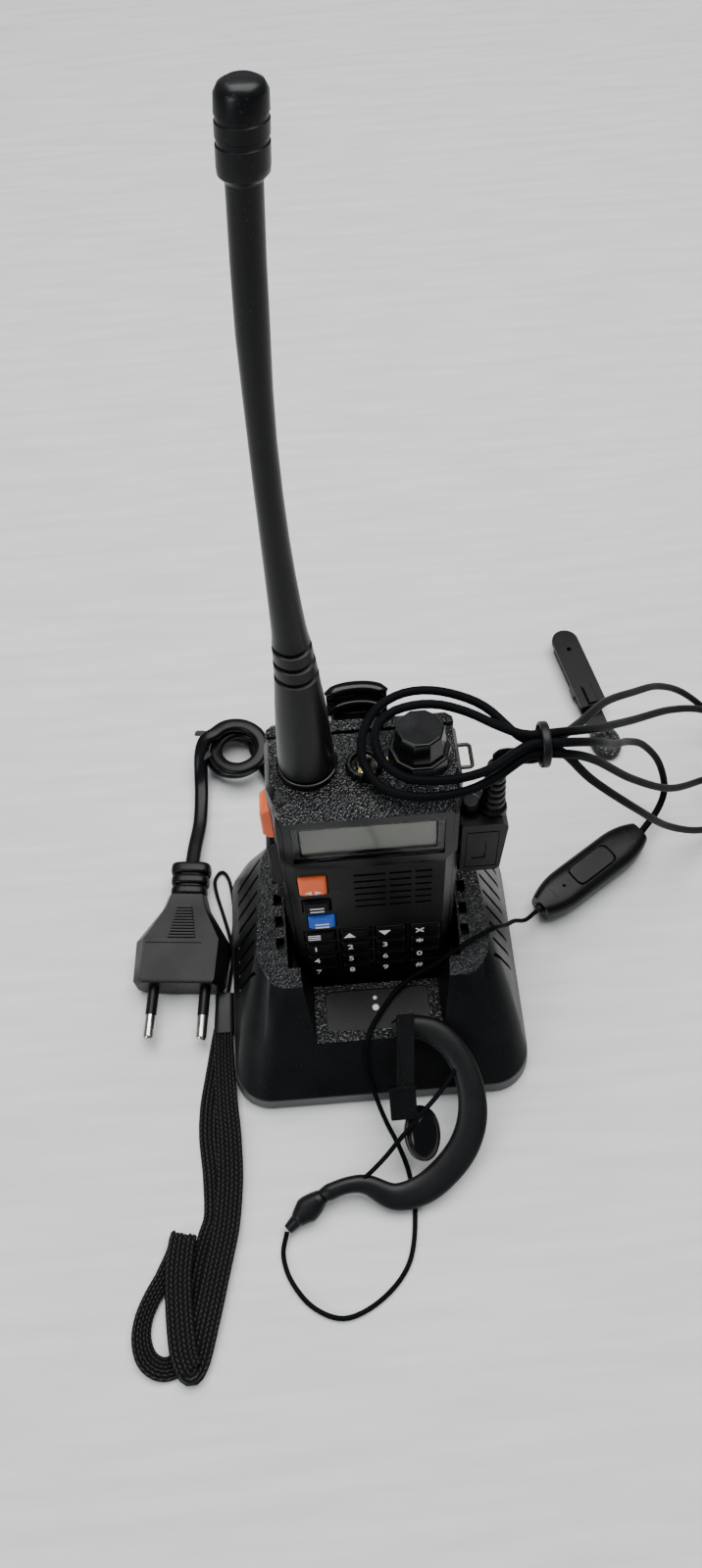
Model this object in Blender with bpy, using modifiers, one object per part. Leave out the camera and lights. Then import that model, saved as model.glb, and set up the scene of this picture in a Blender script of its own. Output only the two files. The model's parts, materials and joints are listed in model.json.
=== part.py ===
"""A handheld two-way radio in its desktop charger, with its headset, mains lead and wrist strap.

Every piece is its own object. Sizes are in millimetres and become metres in new_object().
The radio, and all that is on it, is modelled upright in its own frame (x right, -y front,
z up from the battery's underside) and hangs on the empty "radio_frame", which leans it back.
"""
import math

import bmesh
import bpy
from mathutils import Matrix, Vector

MM = 0.001
GAP = 0.3                      # clearance between pieces that touch

# ---- dock
DOCK_HALF_WIDTH = 51.2
DOCK_HALF_DEPTH = 46.0
DOCK_CORNER = 13.0
SEAM = 8.0                     # top of the base tray
SHELL_TOP = 52.0               # the loft's height before the sloped top is cut
WALL = 2.6
RIM_FRONT = (-14.0, 36.0)      # y, z of the sloped top at the shoulder pads
RIM_SLOPE = 0.304
TROUGH_FLOOR = 22.3            # the level floor in front of the radio
TROUGH_HALF_WIDTHS = (21.3, 24.8)      # at the floor and at the rim

# ---- radio
LEAN = math.radians(7.3)
SEAT = Vector((0.0, 5.5, 11.2))
BODY_HALF_WIDTH = 28.0
BODY_TOP = 110.0
FACE = -15.6                   # y of the front face
HOOD = -17.2                   # y of the raised display hood
BACK = 16.4                    # y of the battery's back
ANTENNA = (-15.5, -0.5)
TORCH = (0.3, -2.5)
KNOB = (16.0, -0.4)
KEY_COLUMNS = (-17.0, -5.67, 5.67, 17.0)
KEY_ROWS = (40.6, 32.7, 24.8, 16.9)
KEY_NAMES = (
    ("menu", "up", "down", "exit"),
    ("1", "2", "3", "star"),
    ("4", "5", "6", "0"),
    ("7", "8", "9", "hash"),
)
KEY_SIZE = (10.0, 6.0)
FUNCTION_KEYS = (              # name, x, z, width, height
    ("key_channel_mode", -17.4, 71.6, 8.6, 9.6),
    ("key_band", -16.9, 59.6, 8.6, 6.6),
    ("key_display_line", -15.9, 50.0, 8.6, 7.0),
)
KEY_FACE = -16.4
KEY_BACK = -12.6

# ---- headset
PLUG_X = (28.4, 42.4)
PLUG_Z = (58.0, 83.0)
BOOT_X = 38.2
BOOT_TOP = 104.0
CABLE = 2.6
EAR_CABLE = 1.6
MAINS_CABLE = 4.6
HOOK_CENTRE = Vector((5.0, -54.0, 16.4))
HOOK_TILT = math.radians(22.5)
CAPSULE_CENTRE = Vector((84.0, 31.3, 6.6))
CAPSULE_TURN = math.radians(33.0)
CLIP_CENTRE = Vector((96.0, 118.0, 0.0))
CLIP_TURN = math.radians(-79.0)
PLUG_EXIT = Vector((-65.5, 46.0, 7.0))
PLUG_TURN = math.radians(-5.5)


# ---------------------------------------------------------------- set-up
for old in list(bpy.data.objects):
    bpy.data.objects.remove(old)

parts = bpy.data.collections.new("two_way_radio")
cutters = bpy.data.collections.new("cutters")
bpy.context.scene.collection.children.link(parts)
bpy.context.scene.collection.children.link(cutters)


def material(name, colour, roughness, metallic=0.0):
    mat = bpy.data.materials.new(name)
    mat.use_nodes = True
    shader = mat.node_tree.nodes["Principled BSDF"]
    shader.inputs["Base Color"].default_value = (*colour, 1.0)
    shader.inputs["Roughness"].default_value = roughness
    shader.inputs["Metallic"].default_value = metallic
    return mat


SHELL = material("shell_black", (0.020, 0.021, 0.022), 0.45)
KEYS = material("key_black", (0.012, 0.012, 0.013), 0.40)
RUBBER = material("rubber_black", (0.018, 0.018, 0.019), 0.75)
CABLE_SKIN = material("cable_black", (0.022, 0.022, 0.024), 0.50)
BASE_GREY = material("base_grey", (0.060, 0.062, 0.064), 0.50)
ORANGE = material("orange_plastic", (0.75, 0.13, 0.03), 0.40)
BLUE = material("blue_plastic", (0.02, 0.07, 0.45), 0.40)
LENS = material("display_glass", (0.16, 0.16, 0.13), 0.15)
CLEAR = material("torch_glass", (0.80, 0.78, 0.55), 0.10)
CAST = material("cast_chassis", (0.050, 0.051, 0.053), 0.50, 0.6)
STEEL = material("steel", (0.55, 0.54, 0.50), 0.30, 1.0)
BRASS = material("brass", (0.60, 0.45, 0.20), 0.30, 1.0)
BOARD = material("board_green", (0.03, 0.16, 0.07), 0.50)
WEBBING = material("webbing_black", (0.015, 0.015, 0.016), 0.85)


def empty(name, location=(0, 0, 0), rotation=(0, 0, 0), parent=None):
    holder = bpy.data.objects.new(name, None)
    parts.objects.link(holder)
    holder.location = Vector(location) * MM
    holder.rotation_euler = rotation
    holder.parent = parent
    return holder


def new_object(name, bm, mat=None, parent=None, at=(0, 0, 0)):
    """Turns a bmesh in millimetres into an object whose origin is at `at`."""
    bmesh.ops.translate(bm, verts=bm.verts, vec=-Vector(at))
    bmesh.ops.scale(bm, verts=bm.verts, vec=(MM, MM, MM))
    bmesh.ops.recalc_face_normals(bm, faces=bm.faces)
    mesh = bpy.data.meshes.new(name)
    bm.to_mesh(mesh)
    bm.free()
    obj = bpy.data.objects.new(name, mesh)
    obj.location = Vector(at) * MM
    obj.parent = parent
    if mat is None:
        cutters.objects.link(obj)
        obj.display_type = 'WIRE'
        obj.hide_render = True
    else:
        parts.objects.link(obj)
        mesh.materials.append(mat)
    return obj


def add_box(bm, x, y, z, rotation=None, pivot=(0, 0, 0)):
    """Adds a box between the given pairs, turned about the pivot."""
    size = (x[1] - x[0], y[1] - y[0], z[1] - z[0])
    centre = Vector(((x[0] + x[1]) / 2, (y[0] + y[1]) / 2, (z[0] + z[1]) / 2))
    matrix = Matrix.Translation(centre) @ Matrix.Diagonal((*size, 1))
    if rotation is not None:
        matrix = Matrix.Translation(pivot) @ rotation @ Matrix.Translation(-Vector(pivot)) @ matrix
    bmesh.ops.create_cube(bm, size=1.0, matrix=matrix)


def add_cylinder(bm, centre, radius, length, axis='Z', sides=16, top_radius=None):
    """Adds a cylinder or cone centred on `centre`; on Z the top radius is the upper one."""
    turn = {'X': Matrix.Rotation(math.pi / 2, 4, 'Y'), 'Y': Matrix.Rotation(-math.pi / 2, 4, 'X'),
            'Z': Matrix.Identity(4)}[axis]
    top = radius if top_radius is None else top_radius
    bmesh.ops.create_cone(bm, cap_ends=True, segments=sides, radius1=radius, radius2=top,
                          depth=length, matrix=Matrix.Translation(centre) @ turn)


def box(name, x, y, z, mat=None, parent=None, at=(0, 0, 0)):
    bm = bmesh.new()
    add_box(bm, x, y, z)
    return new_object(name, bm, mat, parent, at)


def add_prism(bm, outline, axis, low, high):
    """Extrudes a flat outline along an axis; its two numbers are the other two axes in order."""
    order = {'X': (2, 0, 1), 'Y': (0, 2, 1), 'Z': (0, 1, 2)}[axis]
    rings = []
    for level in (low, high):
        ring = []
        for a, b in outline:
            values = (a, b, level)
            ring.append(bm.verts.new([values[i] for i in order]))
        rings.append(ring)
    skin(bm, rings)


def skin(bm, rings):
    """Closes a stack of rings with equal counts into one solid."""
    count = len(rings[0])
    for lower, upper in zip(rings, rings[1:]):
        for i in range(count):
            j = (i + 1) % count
            bm.faces.new((lower[i], lower[j], upper[j], upper[i]))
    bm.faces.new(list(reversed(rings[0])))
    bm.faces.new(rings[-1])


def prism(name, outline, axis, low, high, mat=None, parent=None, at=(0, 0, 0)):
    bm = bmesh.new()
    add_prism(bm, outline, axis, low, high)
    return new_object(name, bm, mat, parent, at)


def loft(name, sections, mat=None, parent=None):
    """Joins outlines of equal counts; each section is (z, outline)."""
    bm = bmesh.new()
    rings = [[bm.verts.new((x, y, z)) for x, y in outline] for z, outline in sections]
    skin(bm, rings)
    return new_object(name, bm, mat, parent)


def turned(name, profile, mat, parent=None, at=(0, 0, 0), steps=20, flat=False):
    """Revolves a profile of (radius, z) points, listed from top to bottom, about Z."""
    bm = bmesh.new()
    verts = [bm.verts.new((at[0] + r, at[1], at[2] + z)) for r, z in profile]
    for a, b in zip(verts, verts[1:]):
        bm.edges.new((a, b))
    obj = new_object(name, bm, mat, parent, at)
    screw = obj.modifiers.new("turn", 'SCREW')
    screw.axis = 'Z'
    screw.steps = steps
    screw.render_steps = steps
    screw.use_merge_vertices = True
    screw.merge_threshold = 0.00001
    screw.use_smooth_shade = not flat
    return obj


def boolean(target, tool, operation='DIFFERENCE'):
    mod = target.modifiers.new(tool.name, 'BOOLEAN')
    mod.operation = operation
    mod.object = tool
    mod.solver = 'EXACT'


def bevel(obj, width, segments=1, angle=40):
    mod = obj.modifiers.new("bevel", 'BEVEL')
    mod.width = width * MM
    mod.segments = segments
    mod.limit_method = 'ANGLE'
    mod.angle_limit = math.radians(angle)


def rounded(half_width, y_low, y_high, radius, steps=4):
    """A rectangle with round corners, counter-clockwise."""
    points = []
    corners = ((half_width - radius, y_high - radius, 0), (radius - half_width, y_high - radius, 90),
               (radius - half_width, y_low + radius, 180), (half_width - radius, y_low + radius, 270))
    for cx, cy, start in corners:
        for i in range(steps + 1):
            angle = math.radians(start + 90 * i / steps)
            points.append((cx + radius * math.cos(angle), cy + radius * math.sin(angle)))
    return points


def smooth_route(route, count):
    """Evenly spaced points on a smooth curve through the route's own points."""
    knots = [Vector(p) for p in route]
    knots = [knots[0] * 2 - knots[1]] + knots + [knots[-1] * 2 - knots[-2]]
    fine = []
    for a, b, c, d in zip(knots, knots[1:], knots[2:], knots[3:]):
        for i in range(16):
            t = i / 16
            fine.append(0.5 * (2 * b + (c - a) * t + (2 * a - 5 * b + 4 * c - d) * t ** 2
                               + (3 * b - a - 3 * c + d) * t ** 3))
    fine.append(knots[-2])
    total = sum((b - a).length for a, b in zip(fine, fine[1:]))
    points = [fine[0]]
    gone = 0.0
    for a, b in zip(fine, fine[1:]):
        step = (b - a).length
        while len(points) < count - 1 and gone + step >= total * len(points) / (count - 1):
            share = (total * len(points) / (count - 1) - gone) / step
            points.append(a.lerp(b, share))
        gone += step
    points.append(fine[-1])
    return points


def tube(name, route, diameter, count, mat, parent=None, resolution=2):
    """A cord or wire with closed ends along a smooth route."""
    curve = bpy.data.curves.new(name, 'CURVE')
    curve.dimensions = '3D'
    curve.bevel_depth = diameter / 2 * MM
    curve.bevel_resolution = resolution
    curve.use_fill_caps = True
    points = smooth_route(route, count)
    spline = curve.splines.new('POLY')
    spline.points.add(len(points) - 1)
    for target, point in zip(spline.points, points):
        target.co = (*(point * MM), 1.0)
    obj = bpy.data.objects.new(name, curve)
    parts.objects.link(obj)
    curve.materials.append(mat)
    obj.parent = parent
    return obj


# ---------------------------------------------------------------- dock
def rim_height(y):
    return RIM_FRONT[1] + (y - RIM_FRONT[0]) * RIM_SLOPE


def above_line(point, slope, drop):
    """The region above a sloping line in the y-z plane, as an outline."""
    def z(y):
        return point[1] + (y - point[0]) * slope - drop
    return [(-60, z(-60)), (60, z(60)), (60, 95), (-60, 95)]


def trough_outline(spare):
    """The trough's section from the front, or its outer skin when `spare` is the wall."""
    floor, rim = (half + spare for half in TROUGH_HALF_WIDTHS)
    top = RIM_FRONT[1] + 1.0
    return [(-floor, TROUGH_FLOOR - spare), (floor, TROUGH_FLOOR - spare), (rim, top), (rim, 60.0),
            (-rim, 60.0), (-rim, top)]


def shell_sections(inset, bottom):
    """The dock's outer form, or its hollow when it is inset."""
    corner = DOCK_CORNER - inset
    return [
        (bottom, rounded(DOCK_HALF_WIDTH - 0.9 - inset, -45.2 + inset, 45.2 - inset, corner)),
        (SEAM + GAP, rounded(DOCK_HALF_WIDTH - 0.9 - inset, -45.2 + inset, 45.2 - inset, corner)),
        (22.0, rounded(46.2 - inset, -31.2 + inset, 42.2 - inset, corner - 0.5)),
        (SHELL_TOP, rounded(34.2 - inset, 3.8 + inset, 33.0 - inset, 9.0 - inset / 2)),
    ]


def build_dock():
    shell = loft("dock_shell", shell_sections(0.0, SEAM + GAP)[1:], SHELL)
    hollow = loft("dock_hollow", shell_sections(WALL, SEAM - 4.0))

    bm = bmesh.new()
    add_box(bm, (-28.8, 28.8), (-17.9, 17.4), (-0.9, 95))
    pocket = new_object("dock_pocket", bm, parent=radio_frame)
    bm = bmesh.new()
    add_box(bm, (-31.4, 31.4), (-20.5, 20.0), (-3.4, 100))
    liner = new_object("dock_liner", bm, parent=radio_frame)
    top = prism("dock_top_cut", above_line(RIM_FRONT, RIM_SLOPE, 0.0), 'X', -60, 60)
    top_skin = prism("dock_top_skin", above_line(RIM_FRONT, RIM_SLOPE, WALL), 'X', -61, 61)
    trough = prism("dock_trough", trough_outline(0.0), 'Y', -60.0, -7.5)
    trough_skin = prism("dock_trough_skin", trough_outline(WALL), 'Y', -61.0, -7.5 + WALL)
    for tool in (liner, top_skin, trough_skin):
        boolean(hollow, tool)
    panel = box("dock_panel_recess", (-17.6, 17.6), (-27.2, -13.2), (TROUGH_FLOOR - 0.8, 30.0))

    # cooling slits through both sloping sides
    bm = bmesh.new()
    for side in (-1, 1):
        for i in range(8):
            y = -9.0 + 5.2 * i
            x = sorted((side * 34.0, side * 53.0))
            add_box(bm, x, (y - 0.6, y + 0.6), (18.5, rim_height(y) - 2.4))
    slits = new_object("dock_slits", bm)

    bm = bmesh.new()
    for x in (-8, 8):
        add_cylinder(bm, (x, 10, -2), 1.9, 6, sides=12)
    holes = new_object("dock_contact_holes", bm, parent=radio_frame)
    for tool in (hollow, pocket, trough, top, panel, slits, holes):
        boolean(shell, tool)

    base = loft("dock_base", [
        (0.0, rounded(DOCK_HALF_WIDTH - 1.0, 1.0 - DOCK_HALF_DEPTH, DOCK_HALF_DEPTH - 1.0, 12.0)),
        (1.2, rounded(DOCK_HALF_WIDTH, -DOCK_HALF_DEPTH, DOCK_HALF_DEPTH, DOCK_CORNER)),
        (SEAM, rounded(DOCK_HALF_WIDTH - 0.6, 0.6 - DOCK_HALF_DEPTH, DOCK_HALF_DEPTH - 0.6, DOCK_CORNER)),
    ], BASE_GREY)
    tray = loft("dock_tray", [
        (2.4, rounded(DOCK_HALF_WIDTH - 3.4, 3.4 - DOCK_HALF_DEPTH, DOCK_HALF_DEPTH - 3.4, 10.0)),
        (12.0, rounded(DOCK_HALF_WIDTH - 3.4, 3.4 - DOCK_HALF_DEPTH, DOCK_HALF_DEPTH - 3.4, 10.0)),
    ])
    boolean(base, tray)
    box("dock_board", (-35, 35), (-30, 30), (2.8, 4.4), BOARD)

    # a lead enters at the back through a tapered gland
    bm = bmesh.new()
    add_cylinder(bm, (-24.0, DOCK_HALF_DEPTH + GAP + 6.0, 5.0), 4.4, 12.0, 'Y', 12, 3.4)
    new_object("cord_gland", bm, RUBBER)
    for side, x in (("left", -8.0), ("right", 8.0)):
        bm = bmesh.new()
        add_cylinder(bm, (x, 10.0, -2.5), 1.5, 4.2, sides=12)
        new_object("contact_" + side, bm, BRASS, radio_frame, (x, 10.0, -2.5))


# ---------------------------------------------------------------- radio shell and its inside
def body_outline(half_width, face, back):
    """The housing's plan: flat face, wide chamfers, straight sides."""
    return [(half_width, back), (-half_width, back), (-half_width, -5.0),
            (1.8 - half_width, face + 4.6), (5.4 - half_width, face),
            (half_width - 5.4, face), (half_width - 1.8, face + 4.6), (half_width, -5.0)]


def build_housing():
    housing = loft("front_housing", [
        (0.3, body_outline(26.8, FACE + 1.0, 11.0)),
        (2.5, body_outline(27.4, FACE, 11.0)),
        (60.0, body_outline(27.8, FACE, 11.0)),
        (104.5, body_outline(BODY_HALF_WIDTH, FACE, 11.0)),
        (107.5, body_outline(27.6, FACE + 0.6, 11.0)),
        (BODY_TOP, body_outline(26.4, -12.0, 10.4)),
    ], SHELL, radio_frame)

    bm = bmesh.new()
    front = [(-23.9, 106.4), (-23.9, 87.4), (-20.4, 83.0), (20.4, 83.0), (23.9, 87.4), (23.9, 106.4)]
    back = [(-25.4, 109.7), (-25.4, 86.6), (-21.2, 81.8), (21.2, 81.8), (25.4, 86.6), (25.4, 109.7)]
    rings = [[bm.verts.new((x, y, z)) for x, z in outline] for y, outline in ((HOOD, front), (-12.4, back))]
    skin(bm, rings)
    boolean(housing, new_object("housing_hood", bm, parent=radio_frame), 'UNION')

    # the battery takes the lower back, so the housing stops short of it there
    bm = bmesh.new()
    add_box(bm, (-40, 40), (3.5, 20), (-5, 73.4))
    boolean(housing, new_object("housing_battery_step", bm, parent=radio_frame))
    bm = bmesh.new()
    add_box(bm, (-25.2, 25.2), (-12.2, 20), (2.8, 107.4))
    boolean(housing, new_object("housing_hollow", bm, parent=radio_frame))

    bm = bmesh.new()
    add_box(bm, (-21.8, 21.8), (-20, -13.4), (84.2, 101.2))     # display window
    boolean(housing, new_object("housing_window", bm, parent=radio_frame))

    bm = bmesh.new()
    add_box(bm, (-19.8, 19.8), (-14.0, -11.0), (84.9, 98.6))    # through to the display
    for row, z in enumerate(KEY_ROWS):
        for x in KEY_COLUMNS:
            add_box(bm, (x - 5.3, x + 5.3), (-18, -11), (z - 3.3, z + 3.3))
    for name, x, z, width, height in FUNCTION_KEYS:
        add_box(bm, (x - width / 2 - GAP, x + width / 2 + GAP), (-18, -11),
                (z - height / 2 - GAP, z + height / 2 + GAP))
    for i in range(6):
        z = 57.0 + 3.6 * i
        add_box(bm, (-5.0, 18.0), (-18, -11), (z - 0.6, z + 0.6))  # speaker slots
    add_box(bm, (-32, -24), (-6.6, 3.2), (83.4, 98.6))           # call button
    add_box(bm, (-32, -24), (-7.6, 3.2), (58.4, 82.2))           # push to talk
    add_box(bm, (-32, -24), (-6.6, 3.2), (48.4, 57.2))           # monitor
    add_box(bm, (26.4, 30), (-1.6, 9.0), (102.4, 105.6))         # strap ring groove
    boolean(housing, new_object("housing_openings", bm, parent=radio_frame))

    bm = bmesh.new()
    add_cylinder(bm, (*ANTENNA, 108), 5.4, 10, sides=20)
    add_cylinder(bm, (*TORCH, 108), 3.6, 10, sides=16)
    add_cylinder(bm, (*KNOB, 108), 4.2, 10, sides=16)
    for z in (65.0, 77.0):
        add_cylinder(bm, (27, 0, z), 2.3, 8, 'X', 12)
    boolean(housing, new_object("housing_holes", bm, parent=radio_frame))
    return housing


def build_inside():
    chassis = prism("chassis", [(-27.2, 12.2), (27.2, 12.2), (27.2, 14.6), (25.2, BACK), (-25.2, BACK),
                                (-27.2, 14.6)], 'Z', 74.0, 109.4, CAST, radio_frame)
    boolean(chassis, box("chassis_web", (-24.6, 24.6), (6.4, 13.0), (76.0, 104.5), parent=radio_frame),
            'UNION')
    boolean(chassis, box("chassis_latch_slot", (-7.6, 7.6), (13.0, 20.0), (70.0, 82.0),
                         parent=radio_frame))
    latch = box("battery_latch", (-7.0, 7.0), (13.4, 17.4), (73.2, 79.4), SHELL, radio_frame,
                (0, 15.4, 76.3))
    bevel(latch, 0.6)

    box("circuit_board", (-24.4, 24.4), (-6.4, -4.8), (4.0, 95.0), BOARD, radio_frame)
    box("lcd_module", (-19.4, 19.4), (-12.7, -8.6), (85.2, 98.2), LENS, radio_frame)
    box("display_lens", (-21.4, 21.4), (-14.4, -13.7), (84.6, 100.8), CLEAR, radio_frame)
    bm = bmesh.new()
    add_cylinder(bm, (6.5, -9.6, 66.0), 13.8, 4.2, 'Y', 24)
    new_object("speaker", bm, STEEL, radio_frame)
    box("keypad_mat", (-23.0, 23.0), (-11.6, -10.6), (12.0, 50.0), RUBBER, radio_frame)

    battery = prism("battery_case", [(-27.0, 4.0), (27.0, 4.0), (27.0, 12.6), (23.4, BACK),
                                     (-23.4, BACK), (-27.0, 12.6)], 'Z', 0.0, 72.6, SHELL, radio_frame)
    bevel(battery, 0.8)


def build_keys():
    for row, z in enumerate(KEY_ROWS):
        for column, x in enumerate(KEY_COLUMNS):
            half = KEY_SIZE[0] / 2
            key = box("key_" + KEY_NAMES[row][column], (x - half, x + half), (KEY_FACE, KEY_BACK),
                      (z - KEY_SIZE[1] / 2, z + KEY_SIZE[1] / 2), KEYS, radio_frame, (x, KEY_FACE, z))
            bevel(key, 0.4)
    for (name, x, z, width, height), mat in zip(FUNCTION_KEYS, (ORANGE, KEYS, BLUE)):
        key = box(name, (x - width / 2, x + width / 2), (KEY_FACE - 0.3, KEY_BACK),
                  (z - height / 2, z + height / 2), mat, radio_frame, (x, KEY_FACE, z))
        bevel(key, 0.5)
    side = (("call_button", 84.0, 98.0, -30.6, ORANGE), ("ptt_button", 59.0, 81.6, -30.2, RUBBER),
            ("monitor_button", 49.0, 56.6, -29.6, RUBBER))
    for name, low, high, out, mat in side:
        front = -7.0 if name == "ptt_button" else -6.0
        button = prism(name, [(-25.6, low), (out + 1.6, low), (out, low + 2.0), (out, high - 2.0),
                              (out + 1.6, high), (-25.6, high)], 'Y', front, 2.6, mat, radio_frame,
                       (out, -2.0, (low + high) / 2))
        bevel(button, 0.5)


# ---------------------------------------------------------------- top of the radio
def build_top():
    x, y = ANTENNA
    turned("antenna_socket", [(0, 119.0), (3.0, 119.0), (3.0, 112.4), (8.6, 112.4), (8.6, 110.3),
                              (5.0, 110.3), (5.0, 101.0), (0, 101.0)], CAST, radio_frame, (x, y, 0))
    turned("antenna_whip", [
        (0, 284.0), (3.4, 284.0), (4.5, 282.6), (4.6, 270.0), (3.3, 269.2), (3.3, 242.0), (2.95, 218.0),
        (3.5, 181.0), (4.4, 164.0), (5.1, 156.0), (5.8, 147.0), (7.0, 132.0), (7.9, 116.0), (8.0, 112.8),
        (3.4, 112.8), (3.4, 119.6), (0, 119.6)], RUBBER, radio_frame, (x, y, 0))

    bm = bmesh.new()
    teeth = 12
    outer = []
    for i in range(2 * teeth):
        radius = 5.3 if i % 2 else 4.7
        angle = math.pi * i / teeth
        outer.append((TORCH[0] + radius * math.cos(angle), TORCH[1] + radius * math.sin(angle)))
    add_prism(bm, outer, 'Z', BODY_TOP + GAP, 112.6)
    bezel = new_object("torch_bezel", bm, RUBBER, radio_frame, (*TORCH, 111.0))
    bm = bmesh.new()
    add_cylinder(bm, (*TORCH, 111), 3.5, 8)
    boolean(bezel, new_object("torch_bore", bm, parent=radio_frame))
    turned("torch_lens", [(0, 111.9), (2.2, 111.7), (3.1, 111.0), (3.1, 100.0), (0, 100.0)], CLEAR,
           radio_frame, (*TORCH, 0), 16)

    x, y = KNOB
    encoder = box("volume_encoder", (x - 5.5, x + 5.5), (y - 3.9, y + 5.6), (97.0, 106.8), STEEL,
                  radio_frame)
    bm = bmesh.new()
    add_cylinder(bm, (x, y, 112.0), 2.9, 16.0, sides=16)
    boolean(encoder, new_object("encoder_shaft", bm, parent=radio_frame), 'UNION')
    turned("volume_knob", [(0, 123.4), (6.3, 123.4), (6.9, 122.6), (7.6, 115.6), (8.9, 114.6),
                           (9.1, 110.6), (3.3, 110.6), (3.3, 120.6), (0, 120.6)], SHELL,
           radio_frame, (x, y, 0), flat=True)


def build_belt_clip():
    def hole(name):
        bm = bmesh.new()
        add_cylinder(bm, (0, 21.4, 101.0), 1.25, 30, 'X', 12)
        return new_object(name, bm, parent=radio_frame)

    plate = box("clip_plate", (-9.5, 9.5), (BACK + GAP, 18.3), (84.0, 106.0), STEEL, radio_frame)
    bm = bmesh.new()
    add_box(bm, (-9.5, -7.7), (17.0, 23.1), (98.4, 103.6))
    add_box(bm, (7.7, 9.5), (17.0, 23.1), (98.4, 103.6))
    boolean(plate, new_object("clip_ears", bm, parent=radio_frame), 'UNION')
    boolean(plate, hole("clip_plate_hole"))

    lever = prism("clip_lever", [
        (18.2, 45.0), (19.6, 44.2), (22.6, 47.6), (24.8, 56.0), (25.4, 90.0), (25.8, 104.0), (28.6, 111.4),
        (26.9, 113.0), (24.4, 109.0), (23.8, 104.0), (23.4, 90.0), (22.9, 57.0), (21.2, 50.0), (18.6, 46.6),
    ], 'X', -9.0, 9.0, SHELL, radio_frame, (0, 21.4, 101.0))
    boolean(lever, box("clip_lug", (-7.3, 7.3), (19.8, 24.6), (98.6, 103.4), parent=radio_frame), 'UNION')
    boolean(lever, hole("clip_lever_hole"))

    bm = bmesh.new()
    add_cylinder(bm, (0, 21.4, 101.0), 0.95, 19.8, 'X', 12)
    new_object("clip_pin", bm, STEEL, radio_frame)


def build_strap_ring():
    pivot = Vector((27.3, 3.7, 104.0))
    loop = [(0, -3.2), (0.7, -4.1), (3.2, -4.1), (4.0, -3.2), (4.0, 3.2), (3.2, 4.1), (0.7, 4.1), (0, 3.2)]
    ring = bpy.data.curves.new("strap_ring", 'CURVE')
    ring.dimensions = '3D'
    ring.bevel_depth = 0.6 * MM
    ring.bevel_resolution = 2
    spline = ring.splines.new('POLY')
    spline.points.add(len(loop) - 1)
    for target, (x, y) in zip(spline.points, loop):
        target.co = (x * MM, y * MM, 0.0, 1.0)
    spline.use_cyclic_u = True
    obj = bpy.data.objects.new("strap_ring", ring)
    parts.objects.link(obj)
    ring.materials.append(STEEL)
    obj.parent = radio_frame
    obj.location = pivot * MM


# ---------------------------------------------------------------- headset
def on_radio(x, y, z):
    """A place in the radio's own frame, in the shared frame."""
    return SEAT + Matrix.Rotation(-LEAN, 3, 'X') @ Vector((x, y, z))


TIE = Vector((49.5, -4.5, 117.0))          # where five passes of the cable are held together
TIE_SPREAD = 3.1                           # from the tie's middle to each pass


def through_tie(angle, outward):
    """One pass through the tie, at an angle round its middle, leaving it or coming back."""
    y = TIE.y + TIE_SPREAD * math.cos(math.radians(angle))
    z = TIE.z + TIE_SPREAD * math.sin(math.radians(angle))
    ends = [on_radio(TIE.x - 4.5, y, z), on_radio(TIE.x + 4.5, y, z)]
    return ends if outward else ends[::-1]


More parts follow.
